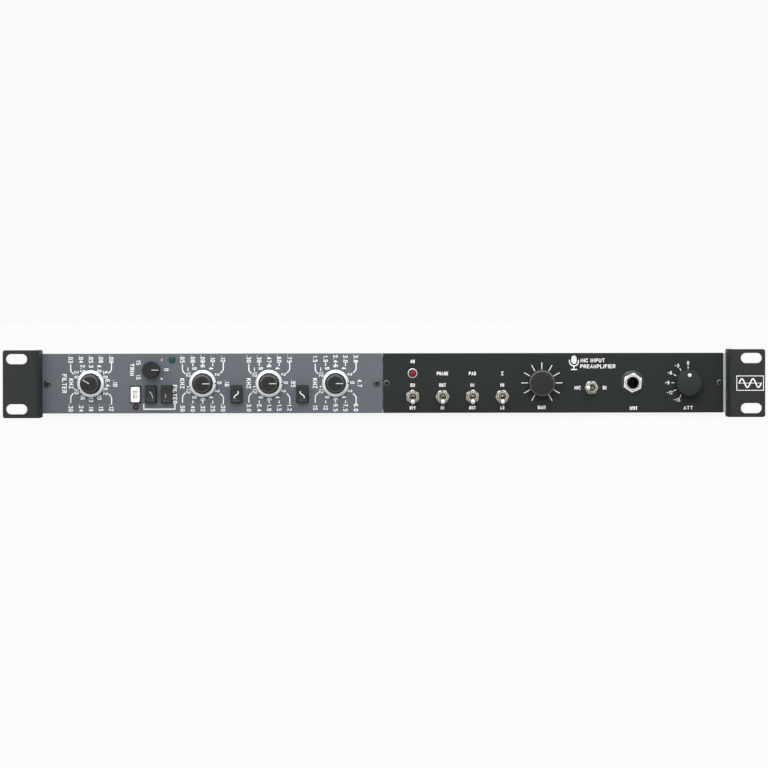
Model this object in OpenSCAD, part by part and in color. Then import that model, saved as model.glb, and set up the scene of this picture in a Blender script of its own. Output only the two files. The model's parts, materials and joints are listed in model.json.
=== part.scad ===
// Rack-mounted microphone preamp with a band equaliser beside it, one rack unit high.
// Millimetres, +Z up. The front faces -Y, and +X is to the right seen from the front.
// The origin is at mid-width and mid-height, on the plane where the ears meet the rack rails.

/* [Rack ears] */
// Overall width across both ears
rack_w = 482.6; // [482:0.1:483]
// Height of an ear
ear_h = 43; // [42:0.5:44]
// Sheet thickness of an ear
ear_t = 3; // [2.6:0.1:3.2]
// How far the ears' front faces stand in front of the panels
ear_proud = 20; // [18:1:24]
// Length of the ear's leg along the chassis, back from the rail plane
ear_leg = 150; // [140:5:170]
// Distance across the unit between the two columns of rack slots
slot_pitch_x = 465.1; // [464.6:0.1:465.6]
// Distance between the upper and the lower rack slot
slot_pitch_z = 31.75; // [31.5:0.05:32]
// Width of a rack slot, end to end
slot_w = 13.4; // [11:0.1:14]
// Height of a rack slot
slot_h = 6.4; // [6.3:0.1:7.1]

/* [Chassis] */
// Width over the side walls
chassis_w = 436; // [435:0.5:436]
// Height from the tray's underside to the cover's top
chassis_h = 33.6; // [33.2:0.2:34.4]
// Depth from the panels' rear faces to the rear panel's outer face
chassis_d = 200; // [200:5:240]
// Thickness of the chassis sheet
sheet_t = 1.5; // [1.2:0.1:1.6]

/* [Front panels] */
// Height of both panels
panel_h = 38.1; // [37:0.1:39]
// Thickness of both panels
panel_t = 3; // [2.5:0.1:3.2]
// Where the two panels meet
panel_joint_x = -0.8; // [-1.2:0.1:-0.4]
// Gap between the two panels
panel_joint_gap = 0.2; // [0.1:0.1:0.4]
// Width of the bare right wall edge that shows beside the preamp panel
wall_edge_w = 1.6; // [1.6:0.1:2]

/* [Equaliser controls] */
// Filter dial's place across the panel
filter_x = -186.9; // [-188:0.1:-186]
// High band dial's place across the panel
high_x = -30.9; // [-31.5:0.1:-30.5]
// Distance between neighbouring band dials
band_pitch = 42.35; // [42:0.05:42.5]
// Radius of the outer ring of a dial
ring_r = 8.7; // [8.5:0.1:9]
// Radius of the inner knob's skirt
dial_knob_r = 6.7; // [6.5:0.1:7]
// Radius of the trim knob
trim_knob_r = 5.6; // [5.5:0.1:6]
// Width of a black push button
button_w = 7.1; // [6.8:0.1:7.3]
// Height of a black push button
button_h = 10.7; // [10:0.1:11]
// Travel of a push button
button_travel = 2.5; // [2:0.1:2.6]

/* [Preamp controls] */
// First toggle switch's place across the panel
first_toggle_x = 18.3; // [18:0.1:19]
// Distance between neighbouring toggle switches
toggle_pitch = 19.05; // [18.8:0.05:19.3]
// Height of the row of toggle switches
toggle_z = -8.7; // [-8.9:0.1:-8.3]
// Tilt of a toggle lever on each side of its middle
toggle_tilt = 12.5; // [10:0.5:13]
// Gain knob's place across the panel
gain_x = 100.4; // [100:0.1:102]
// Radius of the gain knob
gain_knob_r = 8.3; // [7.8:0.1:8.4]
// Input source toggle's place across the panel
source_x = 132.3; // [131:0.1:133]
// Instrument jack's place across the panel
jack_x = 158.6; // [158:0.1:160]
// Radius of the instrument jack's bore
jack_bore_r = 3.2; // [3.18:0.01:3.25]
// Attenuator knob's place across the panel
att_x = 194; // [193:0.1:195]
// Radius of the attenuator knob
att_knob_r = 8.4; // [7.8:0.1:8.4]

/* [Rear connectors] */
// Microphone socket's place across the rear panel
mic_x = 60; // [55:1:70]
// Line output's place across the rear panel
line_x = 22; // [18:1:26]
// Power entry's place across the rear panel
power_x = 165; // [160:1:170]

/* [Hidden] */
$fn = 64;

// Running gap between a shaft and its bearing
run_gap = 0.04;
// Gap around a fastener's shank or a part that only has to drop in
fit_gap = 0.05;
// How far a cutting shape runs past the face that it cuts
cut = 1;

// Ears and panels
panel_y = ear_proud - ear_t;
panel_back = panel_y + panel_t;
rear_y = panel_back + chassis_d;
ear_inner_x = chassis_w / 2 + 0.1;
ear_screw_y = [45, 125];
ear_screw_z = 9;
ear_corner_r = 1.5;
ear_narrowing = 5;
eq_panel_x = [-chassis_w / 2, panel_joint_x - panel_joint_gap / 2];
preamp_panel_x = [panel_joint_x + panel_joint_gap / 2, chassis_w / 2 - wall_edge_w];
panel_screw_x = [
    eq_panel_x[0] + 3.4, eq_panel_x[1] - 3.6,
    preamp_panel_x[0] + 2.4, preamp_panel_x[1] - 2.4
];

// Chassis
floor_z = -chassis_h / 2;
inside_z = floor_z + sheet_t;
cover_z = chassis_h / 2 - sheet_t;
wall_x = chassis_w / 2;
flange_w = 8.5;
centre_flange_x = [-9, 6];
cover_screw_x = wall_x - 5.5;
cover_screw_y = [panel_back + 20, (panel_back + rear_y) / 2, rear_y - 15];
rear_screw_z = 8;

// Circuit boards
board_t = 1.6;
board_z = inside_z + 5.3;
board_top = board_z + board_t;
board_y = [80, 200];
eq_board_x = [-205, -15];
preamp_board_x = [8, 118];
power_board_x = [128, 206];
power_board_y = [140, 186];
standoff_inset = 6;

// Controls on the equaliser panel
low_x = high_x - 2 * band_pitch;
mid_x = high_x - band_pitch;
dial_x = [filter_x, low_x, mid_x, high_x];
trim_x = -148.3;
trim_z = 8.7;
button_z = -6.9;
eq_button_x = -158.4;
eq_button_z = -7;
eq_button_w = 5.8;
eq_button_h = 9.8;
low_pass_x = -148.7;
high_pass_x = -138.5;
low_shelf_x = low_x + 21.5;
high_shelf_x = mid_x + 21.25;
black_button_x = [low_pass_x, high_pass_x, low_shelf_x, high_shelf_x];
button_gap = 0.25;
eq_button_gap = 0.6;
signal_led_x = -135.1;
signal_led_z = 15.1;
eq_led_x = -158.3;
eq_led_z = -15.1;

// Controls on the preamp panel
toggle_x = [for (i = [0:3]) first_toggle_x + i * toggle_pitch];
source_z = -3;
phantom_led_x = 18.2;
phantom_led_z = 6.3;

// Screw shanks, as radii
panel_screw_r = 1.25;
panel_screw_play = 0.1;
case_screw_r = 1.5;
ear_screw_r = 2;

// Bushings, shafts and nuts, as radii and across-flats sizes
bushing_r = 4.76;
tube_shaft_r = 3.15;
core_shaft_r = 1.58;
solid_shaft_r = 3.17;
trim_bushing_r = 3;
trim_shaft_r = 1.5;
toggle_bushing_r = 3.1;
toggle_bore_r = 2.2;
control_nut_flats = 12;
toggle_nut_flats = 8;
jack_bushing_r = 4.7;
jack_nut_flats = 11;
plunger_r = 1.5;

// Lamps, as radii
signal_led_r = 2.1;
eq_led_r = 1.85;
phantom_led_r = 2.5;
phantom_bezel_r = 2.85;

// Depths behind (-) and in front (+) of the panels' front faces
bushing_top = 2.6;
ring_bottom = 0.6;
ring_top = 4.6;
knob_bottom = 4.8;
knob_top = 14;
button_out = 5.5;
button_back = -4;
plunger_back = -15;
switch_front = button_back - button_travel - 0.5;
switch_back = -23;
pivot_out = 1.5;
toggle_bushing_top = 5.5;

// Rear connectors
xlr_w = 26;
xlr_h = 31;
xlr_barrel_r = 12;
xlr_flange_t = 2.2;
latch_travel = 1.2;
power_w = 60;
power_h = 30;
power_flange_t = 2;
rocker_w = 13;
rocker_h = 17.2;
rocker_tilt = 7;
rocker_at = 18;
rocker_pivot_out = -3;

// ---------------------------------------------------------------- shared shapes

// Places children on the front: their Y turns up and their Z is the distance out
// from the panels' front faces.
module at_panel(x, z) {
    translate([x, panel_y, z]) rotate([90, 0, 0]) children();
}

// Places children on the back: their X runs to -X, their Y turns up and their Z is
// the distance out from the rear panel's outer face.
module at_rear(x, z) {
    translate([x, rear_y, z]) rotate([90, 0, 180]) children();
}

// A round bar between two depths
module rod(r, from, to) {
    translate([0, 0, from]) cylinder(r = r, h = to - from);
}

// A round hole through a front panel
module panel_hole(r) {
    rod(r + fit_gap, -panel_t - cut, cut);
}

// A round hole through the rear panel
module rear_hole(r) {
    rod(r + fit_gap, -sheet_t - cut, cut);
}

// A tube between two depths
module tube(r_out, r_in, from, to) {
    difference() {
        rod(r_out, from, to);
        rod(r_in, from - cut, to + cut);
    }
}

// A cone between two depths
module cone(r_from, r_to, from, to) {
    translate([0, 0, from]) cylinder(r1 = r_from, r2 = r_to, h = to - from);
}

// A rectangular block between two depths, centred on the axis
module block(w, h, from, to) {
    translate([-w / 2, -h / 2, from]) cube([w, h, to - from]);
}

// A hexagonal nut with a round hole
module hex_nut(flats, hole_r, from, to) {
    difference() {
        translate([0, 0, from]) cylinder(r = flats / 2 / cos(30), h = to - from, $fn = 6);
        rod(hole_r, from - cut, to + cut);
    }
}

// A box given by its low and high corners
module box(low, high) {
    translate(low) cube(high - low);
}

// Children drawn for the right side, put on either side
module on_side(side) {
    mirror([side < 0 ? 1 : 0, 0, 0]) children();
}

// A slot with round ends, running along X
module slot(w, h, from, to) {
    block(w - h, h, from, to);
    for (side = [-1, 1])
        translate([side * (w - h) / 2, 0, 0]) rod(h / 2, from, to);
}

// A countersunk screw with a hexagonal socket: head flush at depth 0, pointing to -Z
module countersunk_screw(shank_r, head_h, length) {
    difference() {
        union() {
            cone(shank_r, 2 * shank_r, -head_h, 0);
            rod(shank_r, -length, -head_h);
        }
        translate([0, 0, -head_h * 0.6]) cylinder(r = shank_r * 0.8, h = head_h, $fn = 6);
    }
}

// The hole for a countersunk screw
module countersink(shank_r, head_h, length) {
    cone(shank_r + fit_gap, 2 * shank_r + fit_gap, -head_h, 0);
    rod(shank_r + fit_gap, -length, -head_h + fit_gap);
    rod(2 * shank_r + fit_gap, 0, cut);
}

// A screw with a low round head and a hexagonal socket, head on depth 0
module socket_screw(shank_r, head_r, head_h, length) {
    difference() {
        union() {
            rod(head_r, 0, head_h);
            rod(shank_r, -length, 0);
        }
        translate([0, 0, head_h * 0.3]) cylinder(r = head_r * 0.5, h = head_h, $fn = 6);
    }
}

// ---------------------------------------------------------------- frames and places

// Every place on a side wall that takes an ear screw; children point their Z outwards
module at_ear_screws(side) {
    for (y = ear_screw_y, z = [-ear_screw_z, ear_screw_z])
        translate([side * (ear_inner_x + ear_t), y, z]) rotate([0, side * 90, 0]) children();
}

module at_cover_screws() {
    for (side = [-1, 1], y = cover_screw_y)
        translate([side * cover_screw_x, y, chassis_h / 2]) children();
}

module at_rear_screws() {
    for (side = [-1, 1], z = [-rear_screw_z, rear_screw_z])
        at_rear(side * cover_screw_x, z) children();
}

module at_board_corners(board_x, y) {
    for (px = [board_x[0] + standoff_inset, board_x[1] - standoff_inset])
        for (py = [y[0] + standoff_inset, y[1] - standoff_inset])
            translate([px, py, 0]) children();
}

module at_every_standoff() {
    at_board_corners(eq_board_x, board_y) children();
    at_board_corners(preamp_board_x, board_y) children();
    at_board_corners(power_board_x, power_board_y) children();
}

// ---------------------------------------------------------------- chassis and covers

module chassis_tray() {
    color("silver") difference() {
        union() {
            box([-wall_x, panel_back, floor_z], [wall_x, rear_y - sheet_t, inside_z]);
            // left wall ends behind its panel; right wall stands beside its panel, and its
            // front edge is as tall as the panel
            box([-wall_x, panel_back, floor_z], [-wall_x + sheet_t, rear_y - sheet_t, cover_z]);
            box([wall_x - sheet_t, panel_y + 0.4, floor_z], [wall_x, rear_y - sheet_t, cover_z]);
            box([wall_x - sheet_t, panel_y + 0.4, 0.4 - panel_h / 2],
                [wall_x, panel_back, panel_h / 2 - 0.4]);
            for (side = [-1, 1])
                on_side(side) {
                    // flanges for the panel, the rear panel and the cover
                    box([wall_x - flange_w, panel_back, floor_z],
                        [wall_x, panel_back + sheet_t, cover_z - sheet_t]);
                    box([wall_x - flange_w, rear_y - 2 * sheet_t, floor_z],
                        [wall_x, rear_y - sheet_t, cover_z - sheet_t]);
                    box([wall_x - flange_w, panel_back + 6, cover_z - sheet_t],
                        [wall_x, rear_y - 6, cover_z]);
                }
            // upright tab behind the joint of the two panels
            box([centre_flange_x[0], panel_back, floor_z],
                [centre_flange_x[1], panel_back + sheet_t, cover_z - sheet_t]);
        }
        for (side = [-1, 1])
            at_ear_screws(side) rod(ear_screw_r + fit_gap, -20, 0);
        at_cover_screws() rod(case_screw_r + fit_gap, -12, cut);
        at_rear_screws() rod(case_screw_r + fit_gap, -12, 0);
        for (x = panel_screw_x)
            at_panel(x, 0) rod(panel_screw_r + fit_gap, -12, 0);
    }
}

module top_cover() {
    vent_rows = [-186, -106, 36, 136];
    vent_pitch = 8;
    vent_y = 0.75 * rear_y;
    color("silver") difference() {
        box([-wall_x, panel_back + 0.2, cover_z], [wall_x, rear_y - sheet_t, chassis_h / 2]);
        at_cover_screws() countersink(case_screw_r, sheet_t, 4);
        for (start = vent_rows, i = [0:7])
            translate([start + i * vent_pitch, vent_y, cover_z])
                rotate([0, 0, 90]) slot(34, 3, -cut, 2 * sheet_t);
    }
}

module rear_panel() {
    color("silver") difference() {
        box([-wall_x, rear_y - sheet_t, floor_z], [wall_x, rear_y, chassis_h / 2]);
        at_rear_screws() rear_hole(case_screw_r);
        for (x = [mic_x, line_x])
            at_rear(x, 0) {
                rear_hole(xlr_barrel_r);
                at_xlr_screws() rear_hole(case_screw_r);
            }
        at_rear(power_x, 0) {
            block(power_w - 10, power_h - 3.6, -sheet_t - cut, cut);
            at_power_screws() rear_hole(case_screw_r);
        }
    }
}

// One ear, drawn for the right side: an L-shaped section with a rounded outer bend. Behind
// the panels its leg narrows to the chassis height.
module rack_ear() {
    bend_x = ear_inner_x + ear_t;
    leg_top = [[0, ear_h / 2], [panel_back, ear_h / 2], [panel_back + ear_narrowing, chassis_h / 2],
               [ear_leg, chassis_h / 2]];
    leg_bottom = [for (i = [len(leg_top) - 1:-1:0]) [leg_top[i].x, -leg_top[i].y]];
    difference() {
        translate([0, 0, -ear_h / 2]) {
            box([bend_x, -ear_t, 0], [rack_w / 2 - ear_corner_r, 0, ear_h]);
            box([bend_x, -ear_t, ear_corner_r], [rack_w / 2, 0, ear_h - ear_corner_r]);
            for (z = [ear_corner_r, ear_h - ear_corner_r])
                translate([rack_w / 2 - ear_corner_r, 0, z]) rotate([90, 0, 0])
                    cylinder(r = ear_corner_r, h = ear_t);
            translate([ear_inner_x, 0, ear_h / 2]) rotate([90, 0, 90]) linear_extrude(ear_t)
                polygon(concat(leg_top, leg_bottom));
            intersection() {
                translate([bend_x, 0, 0]) cylinder(r = ear_t, h = ear_h);
                box([ear_inner_x, -ear_t, 0], [bend_x, 0, ear_h]);
            }
        }
        for (z = [-slot_pitch_z / 2, slot_pitch_z / 2])
            translate([slot_pitch_x / 2, 0, z]) rotate([90, 0, 0])
                slot(slot_w, slot_h, -cut, ear_t + cut);
        at_ear_screws(1) countersink(ear_screw_r, ear_screw_r, 8);
    }
}

module right_rack_ear() {
    color("#3b4240") rack_ear();
}

module left_rack_ear() {
    color("#3b4240") on_side(-1) rack_ear();
}

module ear_screws() {
    color("#2a2c2c")
        for (side = [-1, 1])
            at_ear_screws(side) countersunk_screw(ear_screw_r, ear_screw_r, 10);
}

module case_screws() {
    color("gray") {
        at_cover_screws() countersunk_screw(case_screw_r, sheet_t, 8);
        at_rear_screws() socket_screw(case_screw_r, 2.8, 1.8, 8);
        for (x = [mic_x, line_x])
            at_rear(x, 0) at_xlr_screws()
                translate([0, 0, xlr_flange_t]) socket_screw(case_screw_r, 2.6, 1.6, 9);
        at_rear(power_x, 0) at_power_screws()
            translate([0, 0, power_flange_t]) socket_screw(case_screw_r, 2.4, 1.6, 9);
    }
}

// ---------------------------------------------------------------- front panels

module front_panel(span) {
    box([span[0], panel_y, -panel_h / 2], [span[1], panel_back, panel_h / 2]);
}

// A rectangular hole through a front panel with a gap all round a button
module button_hole(w, h, gap) {
    block(w + 2 * gap, h + 2 * gap, -panel_t - cut, cut);
}

module eq_panel() {
    color("#686e74") difference() {
        front_panel(eq_panel_x);
        for (x = [panel_screw_x[0], panel_screw_x[1]])
            at_panel(x, 0) panel_hole(panel_screw_r + panel_screw_play);
        for (x = dial_x)
            at_panel(x, 0) panel_hole(bushing_r);
        at_panel(trim_x, trim_z) panel_hole(trim_bushing_r);
        for (x = black_button_x)
            at_panel(x, button_z) button_hole(button_w, button_h, button_gap);
        at_panel(eq_button_x, eq_button_z) button_hole(eq_button_w, eq_button_h, eq_button_gap);
        at_panel(signal_led_x, signal_led_z) panel_hole(signal_led_r);
        at_panel(eq_led_x, eq_led_z) panel_hole(eq_led_r);
    }
}

module preamp_panel() {
    color("#2b2f2e") difference() {
        front_panel(preamp_panel_x);
        for (x = [panel_screw_x[2], panel_screw_x[3]])
            at_panel(x, 0) panel_hole(panel_screw_r + panel_screw_play);
        for (x = toggle_x)
            at_panel(x, toggle_z) panel_hole(toggle_bushing_r);
        at_panel(source_x, source_z) panel_hole(toggle_bushing_r);
        for (x = [gain_x, att_x])
            at_panel(x, 0) panel_hole(bushing_r);
        at_panel(jack_x, 0) panel_hole(jack_bushing_r);
        at_panel(phantom_led_x, phantom_led_z) panel_hole(phantom_bezel_r);
    }
}

module panel_screws() {
    color("#1c1e1e")
        for (x = panel_screw_x)
            at_panel(x, 0) socket_screw(panel_screw_r, 2.3, 1, 8);
}

// ---------------------------------------------------------------- boards and what they carry

module circuit_board(board_x, y) {
    difference() {
        box([board_x[0], y[0], board_z], [board_x[1], y[1], board_top]);
        at_board_corners(board_x, y) rod(1.6, board_z - cut, board_top + cut);
    }
}

module eq_circuit_board() {
    color("darkgreen") circuit_board(eq_board_x, board_y);
}

module preamp_circuit_board() {
    color("darkgreen") circuit_board(preamp_board_x, board_y);
}

module power_supply_board() {
    color("darkgreen") circuit_board(power_board_x, power_board_y);
}

// Upright board behind the equaliser's push switches, with room for two dial switches
module switch_board() {
    color("darkgreen") difference() {
        box([-168, panel_y - switch_back, -14], [-44, panel_y - switch_back + board_t, 14]);
        for (x = [low_x, mid_x])
            at_panel(x, 0) rod(12.3, -40, 0);
    }
}

module board_standoffs() {
    color("goldenrod") {
        at_every_standoff() {
            rod(3, inside_z, board_z);
            rod(1.5, board_z, board_top + 2.4);
            hex_nut(5.5, 1.5 + fit_gap, board_top, board_top + 2);
        }
        for (x = [-129, -62], z = [-11, 11])
            at_panel(x, z) rod(2, switch_back, -panel_t);
    }
}

module amplifier_modules() {
    places = [[-180, 120], [-135, 120], [-90, 120], [-45, 120], [40, 105], [80, 105]];
    side = 26;
    color("#222222")
        for (p = places)
            translate([p[0], p[1], 0]) {
                block(side, side, board_top + 2, board_top + 15);
                for (px = [-10, 10], py = [-10, 0, 10])
                    translate([px, py, 0]) rod(0.5, board_top, board_top + 2);
            }
}

module input_transformer() {
    color("silver") translate([38, 165, 0]) {
        rod(14, board_top, board_top + 20);
        rod(10, board_top + 20, board_top + 20.6);
    }
}

module output_transformer() {
    core = [36, 32, 18];
    window = [8, 18];
    window_x = core.x / 4;
    color("dimgray") translate([85, 165, board_top]) {
        difference() {
            block(core.x, core.y, 0, core.z);
            for (side = [-1, 1])
                translate([side * window_x, 0, 0])
                    block(window.x, window.y, -cut, core.z + cut);
        }
        // the winding fills both windows and crosses over the middle limb
        block(2 * window_x + window.x - 0.2, window.y - 0.2, core.z + fit_gap, core.z + 3);
        for (side = [-1, 1])
            translate([side * window_x, 0, 0])
                block(window.x - 0.2, window.y - 0.2, 0.2, core.z + 1);
    }
}

// Toroid on a pad, held down by a stud, a clamp washer and a nut
module mains_transformer() {
    toroid_z = [inside_z + 1, inside_z + 24];
    toroid_r = [9, 33];
    edge = 4;
    clamp_z = toroid_z[1] + fit_gap;
    nut_z = clamp_z + 1.4 + fit_gap;
    color("firebrick") translate([168, 100, 0]) {
        rotate_extrude() difference() {
            translate([toroid_r[0], toroid_z[0]])
                square([toroid_r[1] - toroid_r[0], toroid_z[1] - toroid_z[0]]);
            for (z = toroid_z)
                translate([toroid_r[1], z]) rotate([0, 0, 45])
                    square(edge * sqrt(2), center = true);
        }
        tube(28, 3.2, inside_z, toroid_z[0] - fit_gap);
        tube(14, 3.2, clamp_z, clamp_z + 1.4);
        hex_nut(10, 3 + fit_gap, nut_z, nut_z + 3);
        rod(3, inside_z, nut_z + 3.6);
    }
}

module filter_capacitors() {
    color("navy")
        for (x = [140, 157, 174, 191])
            translate([x, 163, 0]) rod(6.3, board_top, board_top + 20);
}

// Flat cables from the switches back to the boards, and the mains leads
module internal_wiring() {
    cable_t = 0.8;
    color("lightgray") {
        for (x = [filter_x, low_x, mid_x, high_x, gain_x])
            flat_cable(x, panel_y + 28, 12, cable_t);
        flat_cable(-148, panel_y - switch_back + board_t + 0.1, 20, cable_t);
        for (x = [150, 156])
            translate([x, 187, -2]) rotate([-90, 0, 0]) rod(1, 0, 2.9);
    }
}

module flat_cable(x, start, w, t) {
    drop = [[start, -6], [start + 8, -6], [74, board_top + 0.1 + t], [86, board_top + 0.1 + t]];
    back = [[86, board_top + 0.1], [74, board_top + 0.1], [start + 8, -6 - t], [start, -6 - t]];
    translate([x - w / 2, 0, 0]) rotate([90, 0, 90]) linear_extrude(w) polygon(concat(drop, back));
}

// ---------------------------------------------------------------- switches behind the panels

// A switch or pot body with a bushing through the panel and a bore for its shaft
module bushing_body(body_r, body_depth, bore_r, bore_depth) {
    difference() {
        union() {
            rod(body_r, -body_depth, -panel_t);
            rod(bushing_r, -panel_t, bushing_top);
        }
        rod(bore_r, -bore_depth, bushing_top + cut);
    }
}

module dual_rotary_switches() {
    color("dimgray")
        for (x = dial_x)
            at_panel(x, 0) difference() {
                bushing_body(12, 27, tube_shaft_r + run_gap, 11);
                rod(core_shaft_r + run_gap, -21, -10);
            }
}

module level_controls() {
    color("dimgray")
        for (x = [gain_x, att_x])
            at_panel(x, 0) bushing_body(12, 27, solid_shaft_r + run_gap, 16);
}

module trim_pot() {
    color("dimgray") at_panel(trim_x, trim_z) difference() {
        union() {
            block(9.5, 9.5, -12, -panel_t);
            rod(trim_bushing_r, -panel_t, 2.4);
        }
        rod(trim_shaft_r + run_gap, -10, 4);
    }
}

module push_switch_body() {
    difference() {
        block(6.8, 10, switch_back, switch_front);
        rod(plunger_r + run_gap, plunger_back - button_travel - 1.5, 0);
    }
}

module push_switches() {
    color("#333333") {
        for (x = black_button_x)
            at_panel(x, button_z) push_switch_body();
        at_panel(eq_button_x, eq_button_z) push_switch_body();
    }
}

module control_nuts() {
    color("gainsboro") {
        for (x = concat(dial_x, [gain_x, att_x]))
            at_panel(x, 0) hex_nut(control_nut_flats, bushing_r + fit_gap, 0, 2.2);
        at_panel(trim_x, trim_z) hex_nut(8, trim_bushing_r + fit_gap, 0, 1.8);
    }
}

module toggle_body() {
    difference() {
        union() {
            block(6.86, 12.7, -12, -panel_t);
            rod(toggle_bushing_r, -panel_t, toggle_bushing_top);
            for (y = [-4.7, 0, 4.7])
                translate([0, y, 0]) block(2, 0.8, -16, -12);
        }
        rod(toggle_bore_r, -9, toggle_bushing_top + cut);
    }
}

module toggle_bodies() {
    color("gray") {
        for (x = toggle_x)
            at_panel(x, toggle_z) toggle_body();
        at_panel(source_x, source_z) rotate([0, 0, -90]) toggle_body();
    }
}

module toggle_nuts() {
    turns = [33, 2, 24, 8];
    color("gainsboro") {
        for (i = [0:3])
            at_panel(toggle_x[i], toggle_z) rotate([0, 0, turns[i]])
                hex_nut(toggle_nut_flats, toggle_bushing_r + fit_gap, 0, 2);
        at_panel(source_x, source_z) rotate([0, 0, 2])
            hex_nut(toggle_nut_flats, toggle_bushing_r + fit_gap, 0, 2);
    }
}

// ---------------------------------------------------------------- lamps and jack

// A round lamp: lens through the panel, and two thin leads that leave it off-centre
module lamp(r, out, lead_y) {
    rod(r, -panel_t, out - r / 2);
    translate([0, 0, out - r / 2]) cone(r, r * 0.6, 0, r / 2);
    for (side = [-1, 1])
        translate([side * 0.9, lead_y, 0]) rod(0.25, -12, -panel_t);
}

module signal_led() {
    color("#2f5a50") at_panel(signal_led_x, signal_led_z) lamp(signal_led_r, 1.4, -0.9);
}

module eq_led() {
    color("#503033") at_panel(eq_led_x, eq_led_z) lamp(eq_led_r, 1.2, 0.9);
}

module phantom_led() {
    color("#961e2d") at_panel(phantom_led_x, phantom_led_z) lamp(phantom_led_r, 2.2, 0);
}

module phantom_led_bezel() {
    color("gainsboro") at_panel(phantom_led_x, phantom_led_z) difference() {
        union() {
            rod(3.1, 0, 1.2);
            rod(phantom_bezel_r, -panel_t, 0);
        }
        rod(phantom_led_r + fit_gap, -panel_t - cut, 2);
    }
}

module instrument_jack() {
    color("#2c2c2c") at_panel(jack_x, 0) difference() {
        union() {
            block(20, 20, -30, -panel_t);
            rod(jack_bushing_r, -panel_t, 3.8);
        }
        rod(jack_bore_r, -28, 5);
    }
}

module jack_nut_and_washer() {
    color("gainsboro") at_panel(jack_x, 0) {
        tube(8, jack_bushing_r + fit_gap, 0, 0.8);
        rotate([0, 0, 25]) hex_nut(jack_nut_flats, jack_bushing_r + fit_gap, 0.8, 3.2);
    }
}

// ---------------------------------------------------------------- moving controls on the front

// The outer ring of a dial and the tubular shaft that it turns
module dial_ring(x) {
    at_panel(x, 0) {
        difference() {
            rod(ring_r, ring_bottom, ring_top);
            rod(7.3, ring_bottom - cut, 3);
            rod(tube_shaft_r + fit_gap, 2, ring_top + cut);
        }
        tube(tube_shaft_r, core_shaft_r + run_gap, -10, ring_top - 0.2);
    }
}

// The inner knob of a dial and the thin shaft that it turns
module dial_knob(x) {
    face_r = 4.9;
    at_panel(x, 0) {
        difference() {
            union() {
                rod(dial_knob_r, knob_bottom, 6.4);
                cone(dial_knob_r - 0.4, face_r + 0.4, 6.4, knob_top - 0.6);
                cone(face_r + 0.4, face_r, knob_top - 0.6, knob_top);
            }
            rod(core_shaft_r + fit_gap, knob_bottom - cut, 11);
        }
        rod(core_shaft_r, -20, 10.9);
    }
}

module filter_ring() {
    color("gainsboro") dial_ring(filter_x);
}

module low_band_ring() {
    color("gainsboro") dial_ring(low_x);
}

module mid_band_ring() {
    color("gainsboro") dial_ring(mid_x);
}

module high_band_ring() {
    color("gainsboro") dial_ring(high_x);
}

module filter_knob() {
    color("#2a2d2c") dial_knob(filter_x);
}

module low_band_knob() {
    color("#2a2d2c") dial_knob(low_x);
}

module mid_band_knob() {
    color("#2a2d2c") dial_knob(mid_x);
}

module high_band_knob() {
    color("#2a2d2c") dial_knob(high_x);
}

// A knob with a hollow underside that hides its bushing and nut
module hollow_knob(r, hollow_r, hollow_top, top, bore_r, bore_top) {
    difference() {
        union() {
            rod(r, ring_bottom, top - 1);
            cone(r, r - 0.8, top - 1, top);
        }
        rod(hollow_r, 0, hollow_top);
        rod(bore_r, 0, bore_top);
    }
}

module trim_knob() {
    color("#2a2d2c") at_panel(trim_x, trim_z) {
        hollow_knob(trim_knob_r, 4.9, 2.8, 11.6, trim_shaft_r + fit_gap, 9.2);
        rod(trim_shaft_r, -9, 9);
    }
}

module level_knob(x, r) {
    color("#2a2d2c") at_panel(x, 0) {
        hollow_knob(r, 7.2, 3.1, 13.5, solid_shaft_r + fit_gap, 11.2);
        rod(solid_shaft_r, -15, 11);
    }
}

module gain_knob() {
    level_knob(gain_x, gain_knob_r);
}

module att_knob() {
    level_knob(att_x, att_knob_r);
}

module push_button(x, z, w, h) {
    at_panel(x, z) {
        block(w, h, button_back, button_out);
        rod(plunger_r, plunger_back, button_back);
    }
}

module eq_button() {
    color("white") push_button(eq_button_x, eq_button_z, eq_button_w, eq_button_h);
}

module low_pass_button() {
    color("#2a2d2c") push_button(low_pass_x, button_z, button_w, button_h);
}

module high_pass_button() {
    color("#2a2d2c") push_button(high_pass_x, button_z, button_w, button_h);
}

module low_shelf_button() {
    color("#2a2d2c") push_button(low_shelf_x, button_z, button_w, button_h);
}

module high_shelf_button() {
    color("#2a2d2c") push_button(high_shelf_x, button_z, button_w, button_h);
}

// A bat lever tilted down at rest, with a ball and a cross pin at its pivot; turn lays it
// over sideways
module toggle_lever(x, z, turn) {
    tip = 13;
    color("whitesmoke") at_panel(x, z) rotate([0, 0, turn])
        translate([0, 0, pivot_out]) rotate([toggle_tilt, 0, 0]) union() {
            sphere(r = 1.8);
            rotate([0, 90, 0]) rod(0.6, -2.1, 2.1);
            rod(0.9, -4, 0);
            cone(1, 1.65, 0, tip);
            translate([0, 0, tip]) sphere(r = 1.7);
        }
}

module phantom_toggle() {
    toggle_lever(toggle_x[0], toggle_z, 0);
}

module phase_toggle() {
    toggle_lever(toggle_x[1], toggle_z, 0);
}

module pad_toggle() {
    toggle_lever(toggle_x[2], toggle_z, 0);
}

module impedance_toggle() {
    toggle_lever(toggle_x[3], toggle_z, 0);
}

module source_toggle() {
    toggle_lever(source_x, source_z, -90);
}

// ---------------------------------------------------------------- rear connectors

module at_xlr_screws() {
    for (side = [-1, 1])
        translate([side * 9.5, side * -12, 0]) children();
}

module at_power_screws() {
    for (side = [-1, 1])
        translate([side * (power_w / 2 - 2.6), 0, 0]) children();
}

module at_pins() {
    for (turn = [-30, 90, 210])
        rotate([0, 0, turn]) translate([4, 0, 0]) children();
}

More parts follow.
